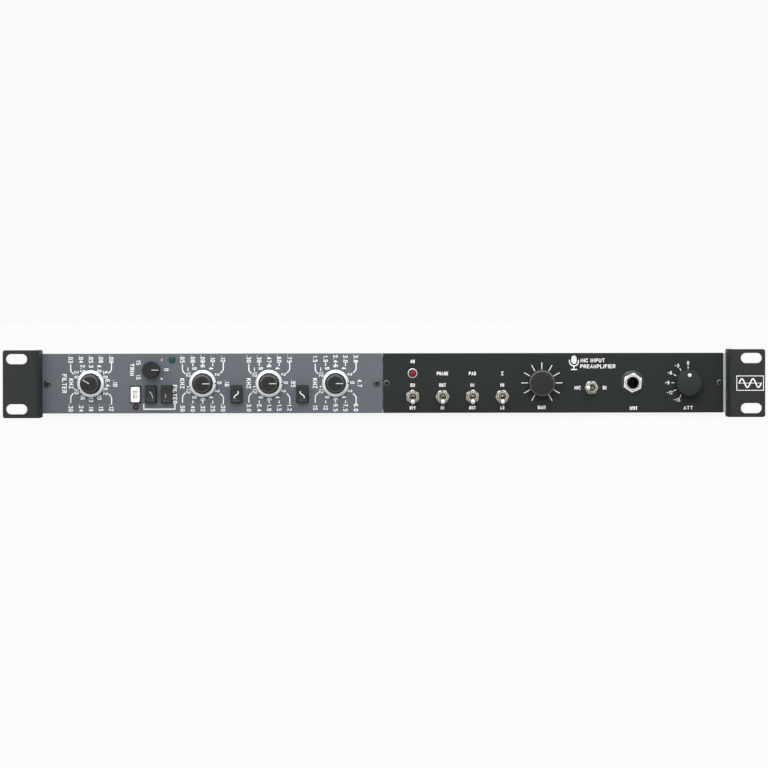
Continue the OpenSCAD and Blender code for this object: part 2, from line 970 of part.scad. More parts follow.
// Flange and barrel that both kinds of connector share
module xlr_shell() {
    difference() {
        union() {
            block(xlr_w, xlr_h, 0, xlr_flange_t);
            rod(xlr_barrel_r, -18, 0);
        }
        at_xlr_screws() rod(case_screw_r + fit_gap, -cut, xlr_flange_t + cut);
    }
}

module mic_input_socket() {
    color("#2c2c2c") at_rear(mic_x, 0) difference() {
        xlr_shell();
        difference() {
            rod(9.8, -14, 3);
            rod(7.8, -15, 1.6);
        }
        at_pins() rod(1.3, -12, 3);
        translate([0, 12.5, 0]) block(6.4, 3.4, -cut, 3.2);
    }
}

module mic_socket_latch() {
    color("silver") at_rear(mic_x, 12.5) block(6, 3, latch_travel + 0.2, 3.6);
}

module line_output_plug() {
    color("#2c2c2c") at_rear(line_x, 0) {
        difference() {
            xlr_shell();
            rod(9.4, -14, 3);
        }
        at_pins() rod(1.2, -14, -2);
    }
}

module power_entry() {
    inlet_at = -12;
    color("#202020") at_rear(power_x, 0) {
        difference() {
            union() {
                block(power_w, power_h, 0, power_flange_t);
                block(power_w - 10.2, power_h - 3.8, -30, 0);
            }
            at_power_screws() rod(case_screw_r + fit_gap, -cut, 3);
            translate([inlet_at, 0, 0]) block(22.5, 15.5, -16, 3);
            translate([rocker_at, 0, 0]) {
                block(rocker_w + 0.4, 19.4, -14, 3);
                translate([0, 0, rocker_pivot_out]) rotate([0, 90, 0])
                    rod(1 + run_gap, -rocker_w / 2 - 1.2, rocker_w / 2 + 1.2);
            }
        }
        for (p = [[-7, -2], [0, 2.5], [7, -2]])
            translate([inlet_at + p[0], p[1], 0]) block(2, 5, -16, -3);
    }
}

module power_rocker() {
    half = rocker_h / 2;
    color("#161616") at_rear(power_x, 0) translate([rocker_at, 0, rocker_pivot_out])
        rotate([rocker_tilt, 0, 0]) {
            rotate([0, 90, 0]) rod(1, -rocker_w / 2 - 0.8, rocker_w / 2 + 0.8);
            rotate([90, 0, 90]) translate([0, 0, -rocker_w / 2]) linear_extrude(rocker_w)
                polygon([[-half, -2], [half, -2], [half, 5.4], [0, 4], [-half, 5.4]]);
        }
}

// ---------------------------------------------------------------- the assembly

chassis_tray();
top_cover();
rear_panel();
left_rack_ear();
right_rack_ear();
ear_screws();
case_screws();
eq_panel();
preamp_panel();
panel_screws();
eq_circuit_board();
preamp_circuit_board();
power_supply_board();
switch_board();
board_standoffs();
dual_rotary_switches();
trim_pot();
push_switches();
level_controls();
control_nuts();
toggle_bodies();
toggle_nuts();
signal_led();
eq_led();
phantom_led();
phantom_led_bezel();
instrument_jack();
jack_nut_and_washer();
filter_ring();
low_band_ring();
mid_band_ring();
high_band_ring();
filter_knob();
low_band_knob();
mid_band_knob();
high_band_knob();
trim_knob();
gain_knob();
att_knob();
eq_button();
low_pass_button();
high_pass_button();
low_shelf_button();
high_shelf_button();
phantom_toggle();
phase_toggle();
pad_toggle();
impedance_toggle();
source_toggle();
input_transformer();
output_transformer();
amplifier_modules();
mains_transformer();
filter_capacitors();
internal_wiring();
mic_input_socket();
mic_socket_latch();
line_output_plug();
power_entry();
power_rocker();
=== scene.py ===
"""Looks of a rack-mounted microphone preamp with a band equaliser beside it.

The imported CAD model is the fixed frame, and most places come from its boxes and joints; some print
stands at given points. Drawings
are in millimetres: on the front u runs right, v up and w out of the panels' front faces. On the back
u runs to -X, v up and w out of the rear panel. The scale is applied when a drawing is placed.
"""
import json
import math

import bpy
from mathutils import Matrix, Vector


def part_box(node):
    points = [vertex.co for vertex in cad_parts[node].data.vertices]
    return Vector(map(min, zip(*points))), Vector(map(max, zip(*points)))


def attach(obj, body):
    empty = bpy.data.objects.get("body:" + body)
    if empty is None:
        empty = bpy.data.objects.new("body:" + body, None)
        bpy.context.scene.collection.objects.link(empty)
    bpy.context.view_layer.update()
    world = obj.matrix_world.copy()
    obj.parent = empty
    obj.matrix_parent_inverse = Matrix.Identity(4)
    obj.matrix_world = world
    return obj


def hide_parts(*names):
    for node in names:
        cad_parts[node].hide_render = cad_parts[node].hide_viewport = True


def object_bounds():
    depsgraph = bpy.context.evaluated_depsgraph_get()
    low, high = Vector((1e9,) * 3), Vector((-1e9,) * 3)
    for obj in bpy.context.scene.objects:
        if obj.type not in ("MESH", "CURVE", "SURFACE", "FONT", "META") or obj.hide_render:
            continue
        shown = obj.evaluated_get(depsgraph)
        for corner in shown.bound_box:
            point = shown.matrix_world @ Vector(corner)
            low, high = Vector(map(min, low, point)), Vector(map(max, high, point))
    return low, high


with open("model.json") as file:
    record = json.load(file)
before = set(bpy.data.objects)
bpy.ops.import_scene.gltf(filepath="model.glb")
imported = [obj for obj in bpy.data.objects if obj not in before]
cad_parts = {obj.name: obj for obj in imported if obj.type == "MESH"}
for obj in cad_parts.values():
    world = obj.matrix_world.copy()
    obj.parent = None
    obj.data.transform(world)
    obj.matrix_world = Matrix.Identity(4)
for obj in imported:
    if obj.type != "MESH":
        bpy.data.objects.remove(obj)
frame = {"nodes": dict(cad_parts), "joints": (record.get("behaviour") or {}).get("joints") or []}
cad_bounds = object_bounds()

MM = 0.001
joints = {joint["name"]: joint for joint in frame["joints"]}


# -------- places


def node_box(node):
    """Low and high corners of a CAD node, in millimetres"""
    low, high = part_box(node)
    return low / MM, high / MM


def joint_place(name):
    """A joint's place across and up the front, in millimetres"""
    x, _, z = joints[name]["pos_m"]
    return x / MM, z / MM


def node_place(node):
    """A node's middle across and up, in millimetres"""
    low, high = node_box(node)
    return (low.x + high.x) / 2, (low.z + high.z) / 2


panel_face_y = node_box("eq_panel")[0].y
ear_face_y = node_box("left_rack_ear")[0].y
rear_face_y = node_box("rear_panel")[1].y


def placed(x, y, z, columns, turn):
    """Puts a drawing at a point, with its u, v and w along the given axes, turned anticlockwise"""
    axes = Matrix(columns).transposed().to_4x4()
    spin = Matrix.Rotation(math.radians(turn), 4, "Z")
    return Matrix.Scale(MM, 4) @ Matrix.Translation((x, y, z)) @ axes @ spin


def front(x, z, turn=0, y=None):
    """Places a drawing on the panels' front faces"""
    return placed(x, panel_face_y if y is None else y, z, ((1, 0, 0), (0, 0, 1), (0, -1, 0)), turn)


def rear(x, z):
    """Places a drawing on the rear panel's outer face"""
    return placed(x, rear_face_y, z, ((-1, 0, 0), (0, 0, 1), (0, 1, 0)), 0)


def shifted(place, u, v, w=0):
    """The same place, moved within the drawing"""
    return place @ Matrix.Translation((u, v, w))


# -------- outlines and loops

# Straight pieces in a rounded corner, in a path's round end and up a dome, and points around a hexagon
CORNER_STEPS = 5
DOME_STEPS = 6
HEX_POINTS = 72


def circle(r, w, count=96, ribs=0, depth=0.0):
    """A round loop, with ribs cut into it if a depth is given"""
    loop = []
    for i in range(count):
        angle = 2 * math.pi * i / count
        reach = r - depth * (0.5 - 0.5 * math.cos(ribs * angle))
        loop.append((reach * math.cos(angle), reach * math.sin(angle), w))
    return loop


def hexagon(flats, w, limit):
    """A hexagonal loop whose corners are cut back to the limit radius; flats lie above and below"""
    loop = []
    for i in range(HEX_POINTS):
        angle = 2 * math.pi * i / HEX_POINTS
        to_flat = angle % (math.pi / 3) - math.pi / 6
        reach = min(flats / 2 / math.cos(to_flat), limit)
        loop.append((reach * math.cos(angle), reach * math.sin(angle), w))
    return loop


def rounded_rectangle(width, height, radius, w):
    """A loop with four round corners"""
    loop = []
    for corner in range(4):
        side_u = 1 if corner in (0, 3) else -1
        side_v = 1 if corner in (0, 1) else -1
        for i in range(CORNER_STEPS + 1):
            angle = math.pi / 2 * (corner + i / CORNER_STEPS)
            loop.append((side_u * (width / 2 - radius) + radius * math.cos(angle),
                         side_v * (height / 2 - radius) + radius * math.sin(angle), w))
    return loop


def turned(profile, count=96, ribs=0):
    """Loops of a turned part; a third number in a profile point is the depth of its ribs"""
    return [circle(r, w, count, ribs, *depth) for r, w, *depth in profile]


def dome(r, low, high):
    """Profile points of a dome that rises from a rim of radius r"""
    angles = [math.pi / 2 * i / DOME_STEPS for i in range(DOME_STEPS)]
    return [(r * math.cos(a), low + (high - low) * math.sin(a)) for a in angles] + [(0.05 * r, high)]


def thread(r, low, high, pitch):
    """Profile points of a row of thread ridges, from low to high"""
    root_r = r - 0.18
    points = []
    for i in range(round((high - low) / pitch)):
        start = low + i * pitch
        points += [(root_r, start), (r, start + 0.3 * pitch), (r, start + 0.6 * pitch)]
    return points + [(root_r, high)]


def rounded_path(points, radius, closed):
    """A path whose corners are rounded off by short curves"""
    if radius <= 0:
        return [Vector(p) for p in points]
    count = len(points)
    path = []
    for i in range(count):
        corner = Vector(points[i])
        if not closed and i in (0, count - 1):
            path.append(corner)
            continue
        before = Vector(points[i - 1]) - corner
        after = Vector(points[(i + 1) % count]) - corner
        # Just under half a side, so that two neighbouring curves stay apart
        start = corner + before.normalized() * min(radius, before.length * 0.49)
        end = corner + after.normalized() * min(radius, after.length * 0.49)
        for k in range(CORNER_STEPS + 1):
            t = k / CORNER_STEPS
            path.append(start * (1 - t) ** 2 + corner * 2 * t * (1 - t) + end * t ** 2)
    return path


def side_path(path, offset, closed):
    """The path moved sideways, to the left for a positive offset"""
    count = len(path)
    moved = []
    for i, point in enumerate(path):
        back = path[i - 1] if closed or i > 0 else None
        ahead = path[(i + 1) % count] if closed or i < count - 1 else None
        into = (point - back).normalized() if back is not None else (ahead - point).normalized()
        out = (ahead - point).normalized() if ahead is not None else into
        along = (into + out).normalized() if (into + out).length > 0.2 else into
        normal = Vector((-along.y, along.x))
        # The limit holds the outer point of a sharp corner short
        share = max(0.62, normal.dot(Vector((-into.y, into.x))))
        moved.append(point + normal * offset / share)
    return moved


# -------- stroke lettering

# Ink reaches from a little inside a surface to a little outside it. Strokes that cross differ in
# height by whole layers, so that their tops don't lie in one plane.
INK_LOW = -0.02
INK_HIGH = 0.05
INK_LAYER = 0.002
INK_LAYERS = 7
INK_PEN = 0.5
LETTER_GAP = 0.48
# How wide a unit of the letters' grid is against its height, where a text has no set width
UNIT_ASPECT = 0.72

# Each letter is drawn with a pen on a grid 4 wide and 6 high: the corner radius, then the strokes
GRID_H = 6
BOX = [(0, 0), (4, 0), (4, 6), (0, 6), (0, 0)]
LETTERS = {
    "0": (1.9, [BOX]),
    "1": (0, [[(0.2, 4.7), (1.5, 6), (1.5, 0)]]),
    "2": (1.6, [[(0, 4.7), (0, 6), (4, 6), (4, 3.4), (0, 0.9), (0, 0), (4, 0)]]),
    "3": (1.5, [[(0, 6), (4, 6), (4, 3.2), (1.4, 3.2)], [(1.4, 3.2), (4, 3.2), (4, 0), (0, 0)]]),
    "4": (0, [[(3, 0), (3, 6)], [(3, 6), (0, 1.8), (4, 1.8)]]),
    "5": (1.3, [[(3.8, 6), (0.2, 6), (0.2, 3.5), (4, 3.5), (4, 0), (0, 0)]]),
    "6": (1.7, [[(3.8, 6), (0, 6), (0, 0), (4, 0), (4, 3.4), (2, 3.4)], [(2, 3.4), (0, 3.4)]]),
    "7": (0, [[(0, 6), (4, 6), (1.4, 0)]]),
    "8": (1.5, [[(0.3, 3.2), (3.7, 3.2), (3.7, 6), (0.3, 6), (0.3, 3.2)],
                [(0, 0), (4, 0), (4, 3.2), (0, 3.2), (0, 0)]]),
    "9": (1.7, [[(2, 2.6), (0, 2.6), (0, 6), (4, 6), (4, 0), (0.2, 0)], [(2, 2.6), (4, 2.6)]]),
    "A": (0, [[(0, 0), (2, 6), (4, 0)], [(0.7, 2), (3.3, 2)]]),
    "C": (1.9, [[(4, 4.8), (4, 6), (0, 6), (0, 0), (4, 0), (4, 1.2)]]),
    "D": (1.8, [[(0, 0), (4, 0), (4, 6), (0, 6)], [(0, 6), (0, 0)]]),
    "E": (0, [[(3.8, 0), (0, 0), (0, 6), (3.8, 6)], [(0, 3.1), (3.2, 3.1)]]),
    "F": (0, [[(0, 0), (0, 6), (3.8, 6)], [(0, 3.1), (3.2, 3.1)]]),
    "G": (1.7, [[(4, 4.8), (4, 6), (0, 6), (0, 0), (4, 0), (4, 2.8)], [(4, 2.8), (2.3, 2.8)]]),
    "H": (0, [[(0, 0), (0, 6)], [(4, 0), (4, 6)], [(0, 3), (4, 3)]]),
    "I": (0, [[(0, 0), (0, 6)]]),
    "K": (0, [[(0, 0), (0, 6)], [(4, 6), (0.2, 2.6)], [(1.5, 3.8), (4, 0)]]),
    "L": (0, [[(0, 6), (0, 0), (3.8, 0)]]),
    "M": (0, [[(0, 0), (0, 6), (2, 2), (4, 6), (4, 0)]]),
    "N": (0, [[(0, 0), (0, 6), (4, 0), (4, 6)]]),
    "O": (1.9, [BOX]),
    "P": (1.6, [[(0, 2.7), (4, 2.7), (4, 6), (0, 6)], [(0, 6), (0, 0)]]),
    "Q": (1.9, [BOX, [(2.4, 1.8), (4.2, -0.3)]]),
    "R": (1.6, [[(0, 2.7), (4, 2.7), (4, 6), (0, 6)], [(0, 6), (0, 0)], [(2, 2.7), (4, 0)]]),
    "S": (1.4, [[(4, 5), (4, 6), (0, 6), (0, 3.1), (4, 3.1), (4, 0), (0, 0), (0, 1)]]),
    "T": (0, [[(0, 6), (4, 6)], [(2, 6), (2, 0)]]),
    "U": (1.9, [[(0, 6), (0, 0), (4, 0), (4, 6)]]),
    "Z": (0, [[(0, 6), (4, 6), (0, 0), (4, 0)]]),
    "-": (0, [[(0.3, 3), (3.3, 3)]]),
    "+": (0, [[(0.2, 3), (3.8, 3)], [(2, 1.2), (2, 4.8)]]),
    ".": (0, [[(0, 0), (0.1, 0)]]),
    " ": (0, []),
}


def letter_width(letter):
    """How many grid units a letter's strokes span; a space has none, and is 1.2 wide"""
    return max((p[0] for stroke in LETTERS[letter][1] for p in stroke), default=1.2)


# -------- meshes


class Shape:
    """Closed skins gathered into one mesh; a slot number picks a skin's material"""

    def __init__(self):
        self.points = []
        self.faces = []
        self.slots = []
        self.strokes = 0

    def skin(self, loops, place, slot=0, ring=False):
        """Joins loops of equal length, and closes both ends or joins the last loop to the first"""
        count = len(loops[0])
        first = len(self.points)
        self.points += [place @ Vector(p) for loop in loops for p in loop]
        starts = [first + count * i for i in range(len(loops))]
        faces = []
        for low, high in zip(starts, starts[1:] + (starts[:1] if ring else [])):
            for i in range(count):
                j = (i + 1) % count
                faces.append((low + i, low + j, high + j, high + i))
        if not ring:
            faces.append(tuple(starts[0] + i for i in reversed(range(count))))
            faces.append(tuple(starts[-1] + i for i in range(count)))
        self.faces += faces
        self.slots += [slot] * len(faces)

    def rod(self, r, low, high, place, slot=0, edge=0.15, count=48):
        """A round bar with chamfered ends"""
        profile = [(r - edge, low), (r, low + edge), (r, high - edge), (r - edge, high)]
        self.skin(turned(profile, count), place, slot)

    def tube(self, r, bore, low, high, place, slot=0):
        """A tube with chamfered outer edges"""
        edge = 0.15
        profile = [(bore, low), (r - edge, low), (r, low + edge),
                   (r, high - edge), (r - edge, high), (bore, high)]
        self.skin(turned(profile, 48), place, slot, ring=True)

    def line(self, points, width, place, low=INK_LOW, high=INK_HIGH, slot=0, radius=0.0):
        """A raised line along a path; one that ends where it starts is closed and runs anticlockwise"""
        closed = len(points) > 2 and Vector(points[0]) == Vector(points[-1])
        path = rounded_path(points[:-1] if closed else points, radius, closed)
        if closed:
            outer = side_path(path, -width / 2, True)
            inner = side_path(path, width / 2, True)
            loops = [[(p.x, p.y, w) for p in side]
                     for side, w in ((outer, low), (outer, high), (inner, high), (inner, low))]
            self.skin(loops, place, slot, ring=True)
            return
        right = side_path(path, -width / 2, False)
        left = side_path(path, width / 2, False)
        outline = right + self.round_end(right[-1], path[-1])
        outline += left[::-1] + self.round_end(left[0], path[0])
        self.skin([[(p.x, p.y, w) for p in outline] for w in (low, high)], place, slot)

    @staticmethod
    def round_end(start, centre):
        """Points of the half circle that runs anticlockwise from start around a path's end"""
        turns = [Matrix.Rotation(math.pi * k / CORNER_STEPS, 2) for k in range(1, CORNER_STEPS)]
        return [centre + turn @ (start - centre) for turn in turns]

    def inlay(self, profile, width, place, slot=0):
        """A narrow strip along v that follows a surface given as (v, w) points"""
        half, raised, sunk = width / 2, 0.03, 0.3
        loops = [[(-half, v, w - sunk), (-half, v, w + raised),
                  (half, v, w + raised), (half, v, w - sunk)] for v, w in profile]
        self.skin(loops, place, slot)

    def write(self, text, place, height, width=None, pen=INK_PEN, slot=0, low=INK_LOW, high=INK_HIGH,
              gap=LETTER_GAP):
        """Writes a line of letters centred on the place; without a width the letters keep their own"""
        up = (height - pen) / GRID_H
        units = sum(letter_width(c) for c in text)
        fixed = len(text) * pen + (len(text) - 1) * gap
        across = UNIT_ASPECT * up if width is None else (width - fixed) / units
        u = -(units * across + fixed) / 2 + pen / 2
        for letter in text:
            radius, strokes = LETTERS[letter]
            for stroke in strokes:
                drawn = [(u + across * p[0], up * (p[1] - GRID_H / 2)) for p in stroke]
                self.strokes += 1
                lift = INK_LAYER * (self.strokes % INK_LAYERS)
                self.line(drawn, pen, place, low, high + lift, slot, radius * min(across, up))
            u += letter_width(letter) * across + pen + gap

    def build(self, name, body, materials, replaces=(), finish=None, sharp=32):
        """Makes an object that rides on a CAD body; edges over the sharp angle, in degrees, stay sharp"""
        mesh = bpy.data.meshes.new(name)
        mesh.from_pydata(self.points, [], self.faces)
        for material in materials:
            mesh.materials.append(material)
        mesh.polygons.foreach_set("material_index", self.slots)
        mesh.polygons.foreach_set("use_smooth", [True] * len(self.faces))
        mesh.set_sharp_from_angle(angle=math.radians(sharp))
        mesh.validate()
        piece = bpy.data.objects.new(name, mesh)
        bpy.context.scene.collection.objects.link(piece)
        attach(piece, body)
        if replaces:
            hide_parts(*replaces)


# -------- materials


def srgb(red, green, blue):
    """A screen colour as linear light"""
    shares = [c / 255 for c in (red, green, blue)]
    return [c / 12.92 if c <= 0.04045 else ((c + 0.055) / 1.055) ** 2.4 for c in shares] + [1.0]


class ShaderTree:
    """The node tree of a material or of the world"""

    def __init__(self, owner):
        owner.use_nodes = True
        self.nodes = owner.node_tree.nodes
        self.links = owner.node_tree.links

    def add(self, kind, inputs=None, **settings):
        """Makes a shader node with the given inputs and settings"""
        node = self.nodes.new("ShaderNode" + kind)
        for key, value in settings.items():
            setattr(node, key, value)
        self.feed(node, inputs or {})
        return node

    def feed(self, node, inputs):
        """Sets a node's inputs; one that is given another node's output is linked to it"""
        for key, value in inputs.items():
            if isinstance(value, bpy.types.NodeSocket):
                self.links.new(value, node.inputs[key])
            else:
                node.inputs[key].default_value = value

    def show(self, output, lit, seen, share):
        """Shows the lit shader, and to the camera the given share of the seen one in its place"""
        camera_ray = self.add("LightPath").outputs["Is Camera Ray"]
        part = self.add("Math", {0: camera_ray, 1: share}, operation="MULTIPLY")
        mix = self.add("MixShader", {0: part.outputs[0], 1: lit.outputs[0], 2: seen.outputs[0]})
        self.feed(self.nodes[output], {"Surface": mix.outputs[0]})


class Finish(ShaderTree):
    """A Principled material that is built up in procedural layers"""

    def __init__(self, name, colour, roughness, metallic=0.0, specular=0.5, coat=0.0):
        self.material = bpy.data.materials.new(name)
        super().__init__(self.material)
        self.shader = self.nodes["Principled BSDF"]
        self.roughness = roughness
        self.colour = self.add("RGB").outputs["Color"]
        self.colour.default_value = srgb(*colour)
        self.normal = None
        self.feed(self.shader, {"Roughness": roughness, "Metallic": metallic,
                                "Specular IOR Level": specular, "Coat Weight": coat,
                                "Coat Roughness": 0.15, "Base Color": self.colour})

    def noise(self, size, detail, stretch=(1, 1, 1)):
        """Noise with features of about the given size in millimetres"""
        where = self.add("TexCoord").outputs["Object"]
        scale = [1 / (MM * size * s) for s in stretch]
        mapped = self.add("Mapping", {"Vector": where, "Scale": scale}).outputs["Vector"]
        return self.add("TexNoise", {"Vector": mapped, "Scale": 1.0, "Detail": detail}).outputs[0]

    def between(self, value, low, high, start=0.3, end=0.7):
        """The value's range from start to end, spread from low to high"""
        limits = {"From Min": start, "From Max": end, "To Min": low, "To Max": high}
        return self.add("MapRange", {"Value": value, **limits}).outputs["Result"]

    def mottle(self, size, amount, stretch=(1, 1, 1)):
        """Slow changes of brightness"""
        factor = self.between(self.noise(size, 4.0, stretch), 1 - amount, 1 + amount)
        varied = self.add("HueSaturation", {"Color": self.colour, "Value": factor})
        self.colour = varied.outputs["Color"]
        self.feed(self.shader, {"Base Color": self.colour})
        return self

    def uneven(self, size, amount, stretch=(1, 1, 1)):
        """Changes of roughness, as from handling"""
        low, high = max(0.02, self.roughness - amount), min(1.0, self.roughness + amount)
        self.feed(self.shader, {"Roughness": self.between(self.noise(size, 5.0, stretch), low, high)})
        return self

    def grain(self, size, height, stretch=(1, 1, 1), strength=0.5):
        """A fine relief of the given height in millimetres"""
        relief = self.noise(size, 4.0, stretch)
        inputs = {"Height": relief, "Distance": MM * height, "Strength": strength}
        if self.normal is not None:
            inputs["Normal"] = self.normal
        self.normal = self.add("Bump", inputs).outputs["Normal"]
        self.feed(self.shader, {"Normal": self.normal})
        return self

    def edge_wear_and_highlight(self, colour, width, amount):
        """Lightens edges towards a pale grey, broken up by noise: partly paint rubbed thin, partly a
        painted edge highlight
        """
        round_normal = self.add("Bevel", {"Radius": MM * width}, samples=4).outputs["Normal"]
        true_normal = self.add("NewGeometry").outputs["Normal"]
        dot = self.add("VectorMath", {0: round_normal, 1: true_normal}, operation="DOT_PRODUCT")
        edge = self.between(dot.outputs["Value"], 1.0, 0.0, 0.8, 0.99)
        patches = self.between(self.noise(2.5, 5.0), 0.2, 1.0, 0.45, 0.6)
        share = self.add("Math", {0: edge, 1: patches}, operation="MULTIPLY").outputs["Value"]
        share = self.add("Math", {0: share, 1: amount}, operation="MULTIPLY").outputs["Value"]
        mix = self.add("Mix", {"Factor": share}, data_type="RGBA")
        # The mixed colours are a Mix node's inputs 6 and 7 and its output 2
        self.feed(mix, {6: self.colour, 7: srgb(*colour)})
        self.colour = mix.outputs[2]
        self.feed(self.shader, {"Base Color": self.colour})
        return self


def painted(name, colour, roughness=0.5, specular=0.35):
    """Fine-grained paint whose edges are lightened, as wear and as a painted edge highlight"""
    finish = Finish(name, colour, roughness, specular=specular)
    finish.mottle(35, 0.06).uneven(12, 0.08).grain(0.35, 0.02, strength=0.35)
    # The pale grey along the edges is partly worn paint and partly a painted edge highlight
    return finish.edge_wear_and_highlight((150, 152, 150), 0.35, 0.45).material


def moulded(name, colour, roughness=0.45, specular=0.4):
    """Moulded plastic"""
    finish = Finish(name, colour, roughness, specular=specular)
    return finish.mottle(6, 0.05).uneven(3, 0.08).grain(0.25, 0.015, strength=0.3).material


def polished(name, colour):
    """Plastic buffed to a shine"""
    finish = Finish(name, colour, 0.22, specular=0.9, coat=0.5)
    return finish.mottle(3, 0.05).uneven(1.2, 0.04).material


def metal(name, colour, roughness=0.3, metallic=1.0):
    """Turned or plated metal"""
    finish = Finish(name, colour, roughness, metallic=metallic)
    return finish.mottle(4, 0.06).uneven(1.5, 0.08).grain(0.3, 0.01, strength=0.3).material


def brushed(name, colour, roughness, stretch):
    """Sheet metal brushed along one axis"""
    finish = Finish(name, colour, roughness, metallic=1.0)
    finish.mottle(0.5, 0.10, stretch).mottle(60, 0.05).uneven(0.6, 0.1, stretch)
    return finish.grain(0.4, 0.01, stretch, 0.5).material


def lens(name, colour, glow):
    """Tinted plastic of a switched-off lamp, lit by the room, with a faint painted glow in its own colour
    """
    finish = Finish(name, colour, 0.4, specular=0.3)
    finish.mottle(0.9, 0.12).grain(0.5, 0.02, strength=0.25)
    # The emission is a faint painted glow; the lamp itself is switched off
    finish.feed(finish.shader, {"Emission Color": srgb(*colour), "Emission Strength": glow})
    return finish.material


ear_black = painted("black_powder_coat", (27, 33, 31), specular=0.3)
slate = painted("slate_enamel", (94, 100, 107), 0.42, 0.3)
panel_black = painted("black_enamel", (19, 27, 25), 0.45, 0.27)
rear_black = painted("rear_black_enamel", (30, 33, 33), 0.5)
ink_white = moulded("white_ink", (252, 252, 250), 0.6, 0.3)
ink_grey = moulded("grey_ink", (158, 161, 152), 0.6, 0.3)
mark_grey = moulded("grey_mark", (176, 178, 174), 0.6, 0.3)
knob_black = moulded("black_phenolic", (30, 33, 32), 0.5, 0.25)
knob_grey = moulded("dark_grey_phenolic", (27, 34, 32), 0.5, 0.3)
gloss_black = polished("polished_black_rim", (38, 40, 40))
button_black = moulded("black_button_plastic", (34, 38, 37), 0.35, 0.35)
button_white = moulded("white_button_plastic", (247, 247, 244), 0.35)
pointer_white = moulded("pointer_paint", (216, 217, 213), 0.5, 0.3)
aluminium = metal("satin_aluminium", (219, 222, 223), 0.32)
nickel = metal("nickel_plate", (170, 168, 158), 0.32)
bright_nickel = metal("bright_nickel_plate", (250, 249, 246), 0.3, metallic=0.6)
lever_chrome = metal("lever_chrome", (244, 243, 236), 0.14)
dark_metal = metal("blackened_steel", (66, 68, 68), 0.42)
screw_metal = metal("worn_black_oxide", (92, 95, 94), 0.36)
washer_metal = metal("oxidised_washer", (62, 65, 64), 0.4)
brass = metal("brass", (196, 160, 96), 0.35)
steel = metal("zinc_steel", (176, 178, 178), 0.35)
tin = metal("tinned_leads", (190, 190, 186), 0.3)
core_steel = metal("core_steel", (90, 90, 88), 0.45)
can_steel = metal("transformer_can", (170, 172, 172), 0.28)
copper = metal("enamelled_copper", (176, 96, 52), 0.3)
tray_aluminium = brushed("bare_aluminium", (196, 199, 196), 0.38, (1, 30, 1))
cover_aluminium = brushed("brushed_aluminium", (186, 189, 189), 0.36, (30, 1, 1))
board_green = moulded("solder_mask", (28, 74, 48), 0.3, 0.5)
sleeve_blue = moulded("capacitor_sleeve", (38, 52, 104), 0.3, 0.5)
epoxy = moulded("potting_epoxy", (30, 30, 30), 0.3, 0.5)
cable_grey = moulded("cable_jacket", (170, 172, 172), 0.45)
switch_grey = moulded("switch_casing", (70, 72, 72), 0.45)
connector_black = moulded("connector_plastic", (28, 29, 29), 0.4)
# Each lens gets a faint painted glow in its own colour, though the lamps are off
red_lens = lens("red_lens", (120, 15, 31), 0.05)
green_lens = lens("green_lens", (34, 68, 60), 0.06)
dark_red_lens = lens("dark_red_lens", (67, 42, 44), 0.04)


# -------- front panel lettering

# The equaliser's controls and print are turned a quarter clockwise
EQ_TURN = -90
# Degrees between two steps of any printed scale
SCALE_STEP = 30
LABEL_H = 2.85
BOLD_PEN = 0.58

# A dial's print is laid out with its text upright: two columns of five outer labels, one more label
# between them at the top, and inner labels on a circle that lies a little left of the dial's middle
ROWS = (-12.95, -6.35, 0, 6.35, 12.95)
COLUMN = 15.55
TOP_ROW = 15.4
INNER_R = 10.6
INNER_LEFT = 0.4
ELBOW_PEN = 0.65
ELBOW_RADIUS = 1.2
DASH_PEN = 0.6

# Labels on the preamp's panel
SMALL_H = 2.3
SMALL_PEN = 0.46
SMALL_BOLD_PEN = 0.53
SMALL_GAP = 0.3


def on_circle(r, angle):
    """A point at a clock angle, clockwise from the top"""
    return r * math.sin(math.radians(angle)), r * math.cos(math.radians(angle))


def dial_print(ink, dial, outer, inner, unit_v, cut_and_boost):
    """A dial's scales, turned a quarter clockwise as on the panel, with dashes and signs for gain"""
    place = front(*joint_place(dial + "_ring_turn"), EQ_TURN)
    for label, v in zip(outer[:5], ROWS):
        ink.write(label, shifted(place, -COLUMN, v), LABEL_H)
    ink.write(outer[5], shifted(place, 0, TOP_ROW), LABEL_H)
    for label, v in zip(outer[6:], reversed(ROWS)):
        ink.write(label, shifted(place, COLUMN, v), LABEL_H)
    for i, label in enumerate(inner):
        u, v = on_circle(INNER_R, SCALE_STEP * (i - 5))
        ink.write(label, shifted(place, u - INNER_LEFT, v), LABEL_H)
    ink.write("KHZ", shifted(place, 0, unit_v), LABEL_H, 6.6, BOLD_PEN)
    for side in (-1, 1):
        upper = [(side * 13.2, 13.1), (side * 8.4, 13.1), (side * 6.7, 11.3)]
        lower = [(side * 12.1, -12.95), (side * 8.0, -12.95), (side * 6.2, -11.3)]
        for elbow in (upper, lower):
            ink.line(elbow, ELBOW_PEN, place, radius=ELBOW_RADIUS)
        if cut_and_boost:
            for v in ROWS[1:4]:
                dash = [(side * 11.2, v), (side * 12.6, v)]
                ink.line(dash, DASH_PEN, place, high=INK_HIGH + INK_LAYER)
    if cut_and_boost:
        ink.line([(-10.0, -9.4), (-7.9, -9.4)], INK_PEN, place)
        ink.write("+", shifted(place, 2.2, -9.5), 2.4)


